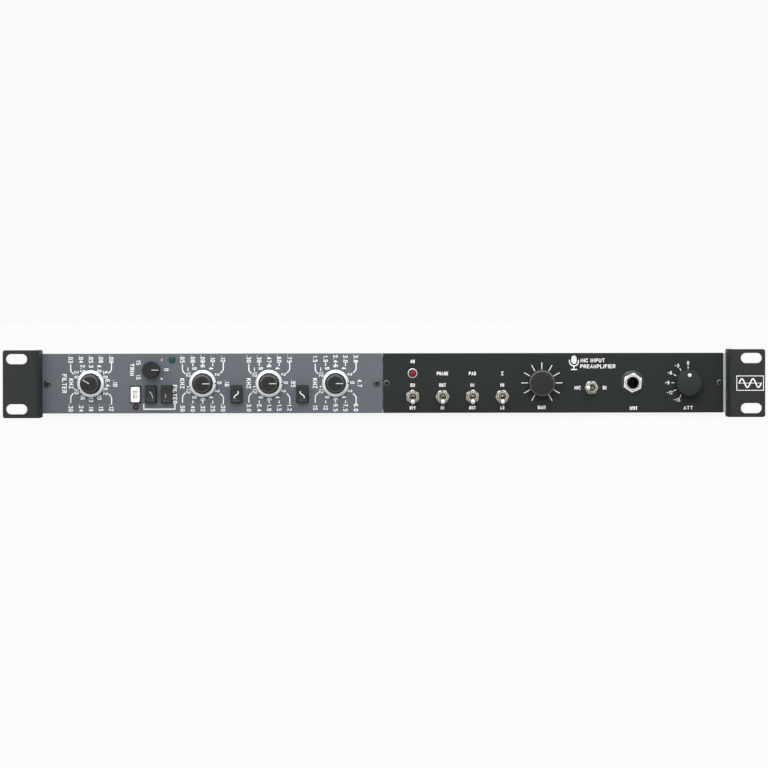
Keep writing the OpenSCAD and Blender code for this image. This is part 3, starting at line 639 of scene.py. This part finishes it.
def eq_print():
    """Everything printed on the equaliser's panel"""
    ink = Shape()
    high_pass = (".03", ".04", ".05", ".06", ".08", ".10", ".12", ".15", ".19", ".24", ".30")
    low_pass = ("2.0", "2.5", "3", "4.0", "5.0", "6.4", "8.2", "10", "13", "16", "20")
    dial_print(ink, "filter", high_pass, low_pass, -12.65, cut_and_boost=False)
    gain_steps = ("12", "9", "6", "4", "2", "0", "2", "4", "6", "9", "12")
    bands = {
        "low": (".05", ".06", ".08", ".10", ".12", ".16", ".20", ".25", ".32", ".40", ".50"),
        "mid": (".30", ".38", ".47", ".60", ".75", ".95", "1.2", "1.5", "1.9", "2.4", "3.0"),
        "high": ("1.5", "1.9", "2.4", "3.0", "3.8", "4.7", "6.0", "7.5", "9.5", "12", "15"),
    }
    for band, frequencies in bands.items():
        dial_print(ink, band + "_band", frequencies, gain_steps, -13.1, cut_and_boost=True)
    dial = front(*joint_place("filter_ring_turn"), EQ_TURN)
    ink.write("FILTER", shifted(dial, 0, -17.0), 3.0, 12.1, BOLD_PEN)
    trim = front(*joint_place("trim_turn"), EQ_TURN)
    trim_labels = (("15", -4.7, -8.3), ("15", 4.6, -8.3), ("0", -0.1, 9.5),
                   ("-", -6.4, 6.5), ("+", 5.7, 6.4))
    for text, u, v in trim_labels:
        ink.write(text, shifted(trim, u, v), LABEL_H)
    ink.write("TRIM", shifted(trim, -0.1, -12.4), 2.7, 7.9, BOLD_PEN)
    low_pass_x, _ = node_place("low_pass_button")
    high_pass_x, high_pass_z = node_place("high_pass_button")
    left, right, bottom = low_pass_x - 4.6, high_pass_x + 5.1, -16.4
    ink.write("FILTER", front(right, high_pass_z, EQ_TURN), 2.8, 12, 0.57)
    bracket = [(left, -13.2), (left, bottom), (right, bottom), (right, -13.3)]
    ink.line(bracket, 0.75, front(0, 0), radius=0.3)
    ink.build("eq_panel_lettering", "chassis", [ink_white])


def microphone_mark(ink, x, z):
    """A plain microphone pictogram"""
    place = front(x, z)
    capsule = [rounded_rectangle(3.2, 5.2, 1.59, w) for w in (INK_LOW, INK_HIGH)]
    ink.skin(capsule, shifted(place, 0, 1.9))
    arc = [on_circle(2.9, angle) for angle in range(90, 271, 15)]
    cradle = [(2.9, 1.6)] + [(u, v + 0.9) for u, v in arc] + [(-2.9, 1.6)]
    stem = [(0, -2.0), (0, -4.1)]
    foot = [(-1.8, -4.3), (1.8, -4.3)]
    for layer, path in enumerate((cradle, stem, foot), 1):
        ink.line(path, 0.65, place, high=INK_HIGH + layer * INK_LAYER)


def preamp_print():
    """Everything printed on the preamp's panel"""
    ink = Shape()

    def small(text, x, z, width, pen=SMALL_PEN):
        ink.write(text, front(x, z), SMALL_H, width, pen, gap=SMALL_GAP)

    title_up, upper_up, lower_up = 14.8, 7.4, -7.1
    # Each toggle's title and the words above and below it, with their widths
    columns = {
        "phantom": (None, ("ON", 2.9), ("OFF", 3.9)),
        "phase": (("PHASE", 7.3), ("OUT", 4.3), ("IN", 2.3)),
        "pad": (("PAD", 4.5), ("IN", 2.4), ("OUT", 4.2)),
        "impedance": (("Z", 1.6), ("HI", 2.3), ("LO", 2.6)),
    }
    for toggle, (title, upper, lower) in columns.items():
        x, z = joint_place(toggle + "_throw")
        if title:
            small(title[0], x, z + title_up, title[1])
        small(upper[0], x, z + upper_up, upper[1])
        small(lower[0], x, z + lower_up, lower[1], SMALL_BOLD_PEN)
    lamp_x, lamp_z = node_place("phantom_led")
    small("48", lamp_x, lamp_z + 7.5, 2.9)
    gain_x, gain_z = joint_place("gain_turn")
    for step in range(-5, 6):
        tick = [on_circle(r, SCALE_STEP * step) for r in (8.9, 12.9)]
        ink.line(tick, 0.52, front(gain_x + 0.3, gain_z))
    small("GAIN", gain_x + 0.2, gain_z - 15.6, 5.0, SMALL_BOLD_PEN)
    att_x, att_z = joint_place("att_turn")
    for step, label in enumerate(("0", "-3", "-6", "-9", "-12", "-15")):
        angle = -SCALE_STEP * step
        u, v = on_circle(12.6, angle)
        minus_w = 0.8 if step else 0
        ink.write(label, front(att_x + u - minus_w, att_z + v), 2.2, pen=0.44, gap=0.36)
        ink.line([on_circle(r, angle) for r in (9.0, 10.6)], 0.45, front(att_x, att_z))
    ink.write("ATT", front(att_x + 0.1, att_z - 16.0), SMALL_H, 6.0, 0.52)
    source_x, source_z = joint_place("source_throw")
    small("MIC", source_x - 8.8, source_z - 0.1, 4.0)
    small("DI", source_x + 8.4, source_z - 0.1, 2.3)
    jack_x, jack_z = node_place("jack_nut_and_washer")
    small("INST", jack_x + 0.6, jack_z - 16.2, 4.8, 0.56)
    microphone_mark(ink, x=121.2, z=12.8)
    titles = (("MIC INPUT", 133.1, 14.3, 15.4), ("PREAMPLIFIER", 136.4, 10.5, 22.4))
    for text, x, z, width in titles:
        ink.write(text, front(x, z), 2.5, width, SMALL_PEN, gap=0.42)
    ink.build("preamp_panel_lettering", "chassis", [ink_white])


def ear_badge():
    """A framed sine wave on the right ear"""
    ink = Shape()
    badge_x, side, top = 231.7, 16.9 / 2, 9.1 / 2
    place = front(badge_x, 0, y=ear_face_y)
    frame_line = [(-side, -top), (side, -top), (side, top), (-side, top), (-side, -top)]
    step, swing, half_period, axis_end = 0.25, 2.7, 3.5, 7.2
    places = [step * i for i in range(-28, 29)]
    wave = [(u, swing * math.sin(math.pi * u / half_period)) for u in places]
    ink.line(frame_line, 0.42, place)
    ink.line(wave, 0.75, place, high=INK_HIGH + INK_LAYER)
    ink.line([(-axis_end, 0), (axis_end, 0)], 0.3, place, high=INK_HIGH - INK_LAYER)
    ink.build("ear_badge", "chassis", [ink_white])


# -------- dials and knobs

# Clock angles from the middle of the scale, which is to the right, that each ring and knob rests at
DIAL_RESTS = {"filter": (150, -150), "low_band": (0, 0), "mid_band": (0, 0), "high_band": (0, 0)}


def dial_ring(name, at):
    """A domed aluminium ring with a knurled side and a dark index line, on its hollow shaft"""
    place = front(*joint_place(name + "_turn"), EQ_TURN - at)
    crown = [(8.7, 4.05), (8.62, 4.2), (8.4, 4.32), (7.7, 4.5), (6.9, 4.6)]
    profile = [(3.2, 3.0), (7.3, 3.0), (7.3, 0.6), (8.45, 0.6), (8.7, 0.9, 0.16), (8.7, 3.85, 0.16)]
    shape = Shape()
    shape.skin(turned(profile + crown + [(3.2, 4.4)], 360, ribs=90), place, ring=True)
    shape.tube(3.15, 1.63, -10, 4.4, place, slot=1)
    shape.inlay(crown[-2::-1], 0.75, place, slot=2)
    shape.build(name + "_turned", name, [aluminium, steel, knob_black], [name], "light_ring")


def dial_knob(name, at):
    """A ribbed knob with a skirt, a polished rim and a white pointer, on its thin shaft"""
    place = front(*joint_place(name + "_turn"), EQ_TURN - at)
    body = [(6.45, 4.8), (6.7, 5.0), (6.7, 6.15), (6.45, 6.4), (6.3, 6.45), (6.28, 6.8, 0.28),
            (5.5, 12.8, 0.28), (5.5, 13.1)]
    rim = [(5.5, 13.1), (5.44, 13.25), (4.85, 13.85), (4.7, 13.9)]
    face = [(4.7, 13.9), (3.0, 13.97), (1.2, 14.0)]
    shape = Shape()
    shape.skin(turned(body, 160, ribs=40), place)
    shape.skin(turned(rim), place, slot=1)
    shape.skin(turned(face), place)
    shape.rod(1.58, -20, 5, place, slot=3)
    pointer = [rounded_rectangle(0.5, 4.7, 0.24, w) for w in (13.5, 14.04)]
    shape.skin(pointer, shifted(place, 0, 2.6), slot=2)
    materials = [knob_black, gloss_black, pointer_white, steel]
    shape.build(name + "_moulded", name, materials, [name], "black_knob")


def trim_knob():
    """A small fluted knob whose pointer lies to the right at rest"""
    place = front(*joint_place("trim_turn"), EQ_TURN)
    profile = [(1.6, 2.8), (4.9, 2.8), (4.9, 0.6), (5.4, 0.6), (5.6, 0.8, 0.3), (5.4, 10.9, 0.3),
               (5.15, 11.3), (4.8, 11.6), (4.4, 11.6), (4.2, 11.45)]
    name = "trim_knob"
    shape = Shape()
    shape.skin(turned(profile, 144, ribs=24), place)
    shape.rod(1.5, -9, 3, place, slot=2)
    pointer = [rounded_rectangle(0.4, 4.6, 0.19, w) for w in (11.3, 11.63)]
    shape.skin(pointer, shifted(place, 0, 2.75), slot=1)
    shape.build(name + "_moulded", name, [knob_black, pointer_white, steel], [name], "black_knob")


def gain_knob():
    """A finely ribbed knob with a polished chamfer and a slightly crowned face"""
    place = front(*joint_place("gain_turn"))
    body = [(3.3, 3.1), (7.2, 3.1), (7.2, 0.6), (8.0, 0.6), (8.3, 0.9, 0.3),
            (8.3, 12.1, 0.3), (8.3, 12.4)]
    rim = [(8.3, 12.4), (8.22, 12.6), (7.5, 13.25), (7.3, 13.35)]
    face = [(7.3, 13.35), (5.0, 13.45), (2.0, 13.5)]
    name = "gain_knob"
    shape = Shape()
    shape.skin(turned(body, 288, ribs=72), place)
    shape.skin(turned(rim), place, slot=1)
    shape.skin(turned(face), place)
    shape.rod(3.17, -15, 3.2, place, slot=2)
    shape.build(name + "_moulded", name, [knob_black, gloss_black, steel], [name], "black_knob")


def att_knob():
    """A smooth knob with a white dot near its edge"""
    place = front(*joint_place("att_turn"))
    profile = [(3.3, 3.1), (7.2, 3.1), (7.2, 0.6), (8.1, 0.6), (8.4, 0.9), (8.3, 12.7), (8.15, 13.1),
               (7.8, 13.4), (7.3, 13.5), (2.5, 13.42)]
    name = "att_knob"
    shape = Shape()
    shape.skin(turned(profile), place)
    shape.rod(3.17, -15, 3.2, place, slot=2)
    dot = [(1.2, 13.3), (1.2, 13.48), (1.05, 13.54)]
    shape.skin(turned(dot, 40), shifted(place, 0, 5.0), slot=1)
    shape.build(name + "_moulded", name, [knob_grey, pointer_white, steel], [name], "black_knob")


# -------- buttons and toggles

# Edges of a nut over this angle, in degrees, stay sharp
NUT_SHARP = 25


def push_button(name, symbol, pen, materials, finish, text=None):
    """A button with rounded edges and a dished face that bears a symbol, given as a path, or a text"""
    low, high = node_box(name)
    width, height = high.x - low.x, high.z - low.z
    place = front(*node_place(name))
    # How much narrower each loop is, its corner radius and how far out it lies
    steps = [(0.3, 0.6, -4), (0, 0.8, -3.7), (0, 0.8, 4.8), (0.2, 0.8, 5.2),
             (0.6, 0.8, 5.45), (1.1, 0.8, 5.5), (2.2, 0.8, 5.36)]
    loops = [rounded_rectangle(width - less, height - less, r, w) for less, r, w in steps]
    shape = Shape()
    shape.skin(loops, place)
    shape.rod(1.5, -15, -4, place, slot=2)
    if text:
        sideways = place @ Matrix.Rotation(math.radians(EQ_TURN), 4, "Z")
        shape.write(text, sideways, 2.9, 4.9, pen, slot=1, low=5.2, high=5.43)
    else:
        shape.line(symbol, pen, place, 5.2, 5.44, slot=1, radius=0.9)
    shape.build(name + "_moulded", name, materials, [name], finish)


def push_buttons():
    """Four black buttons with a curve on each, and the white one"""
    symbols = {
        "low_pass_button": (0.5, mark_grey, [(-0.6, 1.6), (0.7, 0.5), (1.4, -2.3)]),
        "high_pass_button": (0.4, mark_grey, [(-0.5, 0.4), (-0.5, -2.0)]),
        "low_shelf_button": (0.62, ink_white, [(1.2, 1.9), (1.3, 0.4), (-1.0, -1.0), (-1.3, -2.3)]),
        "high_shelf_button": (0.55, ink_white, [(-1.4, 1.8), (-1.3, 0.5), (1.0, -0.9), (1.3, -2.3)]),
    }
    for name, (pen, ink, symbol) in symbols.items():
        push_button(name, symbol, pen, [button_black, ink, steel], "black_button")
    push_button("eq_button", None, 0.55, [button_white, ink_grey, steel], "white_button", "EQ")


def toggle_lever(name, turn):
    """A bat lever on its pivot ball, laid over by its rest tilt"""
    pivot_out, tilt, tip = 1.5, math.radians(12.5), 13
    bushing = front(*joint_place(name + "_throw"), turn)
    place = shifted(bushing, 0, 0, pivot_out) @ Matrix.Rotation(tilt, 4, "X")
    tail = [(0.8, -4), (0.9, -3.8), (0.9, -2)]
    ball = [(1.9 * math.cos(a), 1.9 * math.sin(a)) for a in map(math.radians, range(-60, 61, 12))]
    bat = [(0.98, 2.2), (1.1, 4), (1.32, 7.5), (1.58, 11), (1.68, 12.6)]
    shape = Shape()
    shape.skin(turned(tail + ball + bat + dome(1.7, tip, tip + 1.7), 40), place)
    toggle = name + "_toggle"
    shape.build(toggle + "_lever", toggle, [lever_chrome], [toggle], "bright_lever")


def chamfered_nut(shape, flats, bore, low, high, place):
    """A hexagonal nut with turned corners on its outer face and a chamfered bore"""
    flat_r = flats / 2
    corner_r = flat_r / math.cos(math.pi / 6)
    outside = [(corner_r, low), (corner_r, high - 0.35),
               (flat_r + 0.25, high - 0.1), (flat_r - 0.05, high)]
    inside = [(bore + 0.3, high), (bore, high - 0.3), (bore, low)]
    loops = [hexagon(flats, w, limit) for limit, w in outside]
    shape.skin(loops + turned(inside, HEX_POINTS), place, ring=True)


def toggle_hardware():
    """The five levers' nuts and the threaded ends of their bushings"""
    nuts, threads = Shape(), Shape()
    nut_turns = {"phantom": 33, "phase": 2, "pad": 24, "impedance": 8, "source": 2}
    bushing = [(2.22, 1.8)] + thread(3.22, 1.9, 5.3, 0.5) + [(2.85, 5.55), (2.45, 5.55), (2.22, 5.3)]
    for name, turn in nut_turns.items():
        place = front(*joint_place(name + "_throw"), turn)
        chamfered_nut(nuts, 8, 3.15, 0, 2, place)
        threads.skin(turned(bushing, 48), place, ring=True)
    nuts.build("toggle_nuts_chamfered", "chassis", [nickel], ["toggle_nuts"], "nickel", NUT_SHARP)
    threads.build("toggle_bushing_threads", "chassis", [nickel], (), "switch_metal")


# -------- lamps, jack and screws


def lamp(name, r, out, lead_v, lens_material, finish):
    """A domed lamp and its two leads, which stand lead_v above its middle"""
    x, z = node_place(name)
    if lead_v:
        # The leads reach past the lens on their side, so its middle is found from the other side
        low, high = node_box(name)
        lens_r = (high.x - low.x) / 2
        z = low.z + lens_r if lead_v > 0 else high.z - lens_r
    place = front(x, z)
    shape = Shape()
    profile = [(r, -3), (r, out * 0.35)] + dome(r, out * 0.4, out)[1:]
    shape.skin(turned(profile, 48), place)
    for side in (-1, 1):
        lead = shifted(place, side * 0.9, lead_v)
        shape.rod(0.25, -12, -3, lead, slot=1, edge=0.08, count=12)
    shape.build(name + "_dome", "chassis", [lens_material, tin], [name], finish)


def lamps():
    """The three lamps, and the turned bezel of the red one"""
    lamp("phantom_led", 2.5, 2.2, 0, red_lens, "red_lens")
    lamp("signal_led", 2.1, 1.4, -0.9, green_lens, "green_lens")
    lamp("eq_led", 1.85, 1.2, 0.9, dark_red_lens, "dark_red_lens")
    bezel = Shape()
    profile = [(2.54, -3), (2.85, -3), (2.85, -0.02), (3.1, 0), (3.1, 0.8),
               (3.02, 1.05), (2.88, 1.12), (2.6, 1.12), (2.54, 1.0)]
    bezel.skin(turned(profile, 64), front(*node_place("phantom_led_bezel")), ring=True)
    bezel.build("phantom_led_bezel_turned", "chassis", [aluminium], ["phantom_led_bezel"], "nickel")


def jack():
    """Washer, nut and threaded bushing of the instrument jack"""
    name, nut_turn = "jack_nut_and_washer", 25
    place = front(*node_place(name), nut_turn)
    shape = Shape()
    washer = [(4.8, 0), (7.9, 0), (8.0, 0.1), (7.9, 0.25), (6.3, 0.78), (4.8, 0.8)]
    shape.skin(turned(washer), place, slot=1, ring=True)
    chamfered_nut(shape, 11, 4.78, 0.8, 3.2, place)
    shape.build(name + "_turned", "chassis", [bright_nickel, washer_metal], [name], "nickel", NUT_SHARP)
    collar = Shape()
    mouth = [(4.5, 3.86), (4.15, 3.86), (4.0, 3.7), (4.0, 3.4)]
    collar.skin(turned([(4.4, 2.9)] + thread(4.76, 3.0, 3.7, 0.35) + mouth), place, ring=True)
    collar.build("jack_bushing_threads", "chassis", [bright_nickel], (), "nickel")


def panel_screws():
    """Button-head screws with hexagonal sockets; the floor of each socket is painted dark as shade in the
    recess
    """
    name = "panel_screws"
    shape = Shape()
    low, high = node_box(name)
    eq_end, preamp_start = node_box("eq_panel")[1].x, node_box("preamp_panel")[0].x
    head_r, eq_inset, preamp_inset = 2.3, 3.6, 2.4
    outline = [(1.25, -8), (1.25, -0.02), (head_r, 0), (head_r, 0.4), (2.15, 0.75), (1.8, 0.96)]
    socket = [(2.5, 1.0), (2.3, 0.9), (2.3, 0.3)]
    loops = turned(outline, HEX_POINTS) + [hexagon(flats, w, 2) for flats, w in socket]
    for x in (low.x + head_r, high.x - head_r, eq_end - eq_inset, preamp_start + preamp_inset):
        # Each socket stands at a turn of its own
        shape.skin(loops, front(x, 0, 10 * (x % 5)))
        # The socket's floor takes the dark knob material as a painted shade in the recess
        shape.slots[-1] = 1
    shape.build(name + "_socketed", "chassis", [screw_metal, knob_black], [name], "black_screw")


# -------- rear connectors


def at_pins(place):
    """The three pin places of a round connector"""
    for turn in (-30, 90, 210):
        yield place @ Matrix.Rotation(math.radians(turn), 4, "Z") @ Matrix.Translation((4, 0, 0))


def rear_contacts():
    """Sleeves in the microphone socket, pins of the line output and blades of the mains inlet"""
    sleeves, pins, blades = Shape(), Shape(), Shape()
    pin = [(1.1, -13.9), (1.24, -13.7), (1.24, -2.7)] + dome(1.24, -2.65, -1.85)[1:]
    blade = [(2.1, 5.1, -15.9), (2.1, 5.1, -3.3), (1.6, 4.6, -2.9)]
    blade_loops = [rounded_rectangle(width, height, 0.5, w) for width, height, w in blade]
    for place in at_pins(rear(*node_place("mic_input_socket"))):
        sleeves.tube(1.28, 0.8, -8, 1.45, place)
    for place in at_pins(rear(*node_place("line_output_plug"))):
        pins.skin(turned(pin, 40), place)
    inlet = shifted(rear(*node_place("power_entry")), -12, 0)
    for u, v in ((-7, -2), (0, 2.5), (7, -2)):
        blades.skin(blade_loops, shifted(inlet, u, v))
    sleeves.build("mic_input_sleeves", "chassis", [brass], (), "nickel")
    pins.build("line_output_pins", "chassis", [nickel], (), "nickel")
    blades.build("power_inlet_blades", "chassis", [nickel], (), "nickel")


def rocker_marks():
    """The 0 and 1 on the mains rocker's two slopes"""
    rocker_at, pivot_out, tilt, slope = 18, -3, math.radians(7), math.atan(1.4 / 8.6)
    valley_out, mark_at = 4, 4.4
    mark_out = valley_out + mark_at * math.tan(slope)
    pivot = shifted(rear(*node_place("power_entry")), rocker_at, 0, pivot_out)
    tilted = pivot @ Matrix.Rotation(tilt, 4, "X")
    marks = Shape()
    for side, text in ((-1, "0"), (1, "1")):
        place = shifted(tilted, 0, side * mark_at, mark_out) @ Matrix.Rotation(side * slope, 4, "X")
        marks.write(text, place, 3.4)
    marks.build("power_rocker_marks", "power_rocker", [ink_white], (), "nickel")


# -------- CAD pieces that stay


def dress(node, material, edge):
    """Gives a CAD node its finish, and softens its edges by the given width"""
    piece = frame["nodes"][node]
    for slot in piece.material_slots:
        slot.material = material
    weld = piece.modifiers.new("weld", "WELD")
    weld.merge_threshold = 0.004 * MM
    flat = piece.modifiers.new("whole_faces", "DECIMATE")
    flat.decimate_type = "DISSOLVE"
    flat.angle_limit = math.radians(0.5)
    bevel = piece.modifiers.new("soft_edges", "BEVEL")
    bevel.width = edge * MM
    bevel.segments = 2
    bevel.limit_method = "ANGLE"
    bevel.angle_limit = math.radians(40)
    piece.modifiers.new("even_normals", "WEIGHTED_NORMAL")


def dress_cad():
    """The width of softened edges and the material of every CAD node that isn't replaced"""
    finishes = (
        (0.3, ear_black, "left_rack_ear", "right_rack_ear"),
        (0.2, slate, "eq_panel"),
        (0.2, panel_black, "preamp_panel"),
        (0.2, rear_black, "rear_panel"),
        (0.2, cover_aluminium, "top_cover"),
        (0.15, tray_aluminium, "chassis_tray"),
        (0.1, board_green, "eq_circuit_board", "preamp_circuit_board", "power_supply_board",
         "switch_board"),
        (0.15, dark_metal, "ear_screws"),
        (0.15, steel, "case_screws"),
        (0.15, brass, "board_standoffs"),
        (0.15, nickel, "control_nuts", "toggle_bodies"),
        (0.15, bright_nickel, "mic_socket_latch"),
        (0.15, switch_grey, "dual_rotary_switches", "trim_pot", "push_switches", "level_controls"),
        (0.15, connector_black, "instrument_jack", "mic_input_socket", "line_output_plug",
         "power_entry", "power_rocker"),
        (0.15, can_steel, "input_transformer"),
        (0.15, core_steel, "output_transformer"),
        (0.15, epoxy, "amplifier_modules"),
        (0.15, copper, "mains_transformer"),
        (0.15, sleeve_blue, "filter_capacitors"),
        (0.15, cable_grey, "internal_wiring"),
    )
    for edge, material, *nodes in finishes:
        for node in nodes:
            dress(node, material, edge)


# -------- studio

WHITE = (1, 1, 1, 1)
# Brightness of the backdrop as the camera sees it
BACKDROP = 0.947
# The room's light rises from low to top, from a little below the horizon up, and grows to the sides
ROOM_LIGHT_LOW = 0.64
ROOM_LIGHT_TOP = 1.2
ROOM_LIGHT_START = -0.1
ROOM_LIGHT_SIDE = 0.5
# The floor, in metres from its middle to a side, is mostly seen as a glow, so its shadows stay faint
FLOOR_HALF = 40
FLOOR_GREY = (0.6, 0.6, 0.6, 1)
FLOOR_GLOW = 0.98
FLOOR_GLOW_SHARE = 0.93
# Strength of the soft light, and how far above and aside it stands and how wide it is, in degrees
KEY_STRENGTH = 1.1
KEY_ABOVE = 24
KEY_ASIDE = -4
KEY_WIDTH = 32


def room():
    """A bright room around the unit, which the camera sees as a plain backdrop"""
    world = bpy.data.worlds.new("studio")
    scene = bpy.context.scene
    scene.world = world
    scene.view_settings.view_transform = "Standard"
    tree = ShaderTree(world)
    direction = tree.add("TexCoord").outputs["Generated"]
    way = tree.add("SeparateXYZ", {0: direction}).outputs
    height = tree.add("MapRange", {"Value": way["Z"], "From Min": ROOM_LIGHT_START,
                                   "To Min": ROOM_LIGHT_LOW, "To Max": ROOM_LIGHT_TOP})
    aside = tree.add("Math", {0: way["X"], 1: way["X"]}, operation="MULTIPLY")
    light = tree.add("Math", {0: aside.outputs[0], 1: ROOM_LIGHT_SIDE, 2: height.outputs[0]},
                     operation="MULTIPLY_ADD")
    lit = tree.nodes["Background"]
    tree.feed(lit, {"Color": WHITE, "Strength": light.outputs[0]})
    seen = tree.add("Background", {"Color": WHITE, "Strength": BACKDROP})
    tree.show("World Output", lit, seen, 1.0)


def floor():
    """A plain pale floor under the unit"""
    half, z = FLOOR_HALF, cad_bounds[0][2]
    corners = [(-half, -half, z), (half, -half, z), (half, half, z), (-half, half, z)]
    mesh = bpy.data.meshes.new("studio_floor")
    mesh.from_pydata(corners, [], [(0, 1, 2, 3)])
    piece = bpy.data.objects.new("studio_floor", mesh)
    bpy.context.scene.collection.objects.link(piece)
    material = bpy.data.materials.new("studio_floor")
    mesh.materials.append(material)
    tree = ShaderTree(material)
    lit = tree.nodes["Principled BSDF"]
    tree.feed(lit, {"Base Color": FLOOR_GREY, "Roughness": 1, "Specular IOR Level": 0})
    seen = tree.add("Emission", {"Strength": FLOOR_GLOW})
    tree.show("Material Output", lit, seen, FLOOR_GLOW_SHARE)


def key_light():
    """One soft light in front and above"""
    key = bpy.data.lights.new("key_light", "SUN")
    key.energy = KEY_STRENGTH
    key.angle = math.radians(KEY_WIDTH)
    piece = bpy.data.objects.new("key_light", key)
    piece.rotation_euler = (math.radians(90 - KEY_ABOVE), 0, math.radians(KEY_ASIDE))
    bpy.context.scene.collection.objects.link(piece)


def camera():
    """Straight on, a degree above the middle, far enough away for a nearly flat view"""
    distance, elevation, roll = 2450, math.radians(1), math.radians(-0.09)
    aim = Vector((0, ear_face_y, -0.2))
    back = Vector((0, -math.cos(elevation), math.sin(elevation)))
    # How wide the view is at the aim against the unit
    view_share = 1.00705
    view_width = view_share * (cad_bounds[1][0] - cad_bounds[0][0]) / MM
    data = bpy.data.cameras.new("camera")
    data.sensor_width = 36
    data.lens = data.sensor_width * distance / view_width
    data.clip_end = 100
    eye = bpy.data.objects.new("camera", data)
    eye.location = (aim + distance * back) * MM
    upright = Matrix.Rotation(math.pi / 2 - elevation, 4, "X")
    eye.rotation_euler = (upright @ Matrix.Rotation(roll, 4, "Z")).to_euler()
    bpy.context.scene.collection.objects.link(eye)
    bpy.context.scene.camera = eye


eq_print()
preamp_print()
ear_badge()
for dial, (ring_at, knob_at) in DIAL_RESTS.items():
    dial_ring(dial + "_ring", ring_at)
    dial_knob(dial + "_knob", knob_at)
trim_knob()
gain_knob()
att_knob()
push_buttons()
for name in ("phantom", "phase", "pad", "impedance"):
    toggle_lever(name, 0)
toggle_lever("source", -90)
toggle_hardware()
lamps()
jack()
panel_screws()
rear_contacts()
rocker_marks()
dress_cad()
room()
floor()
key_light()
camera()
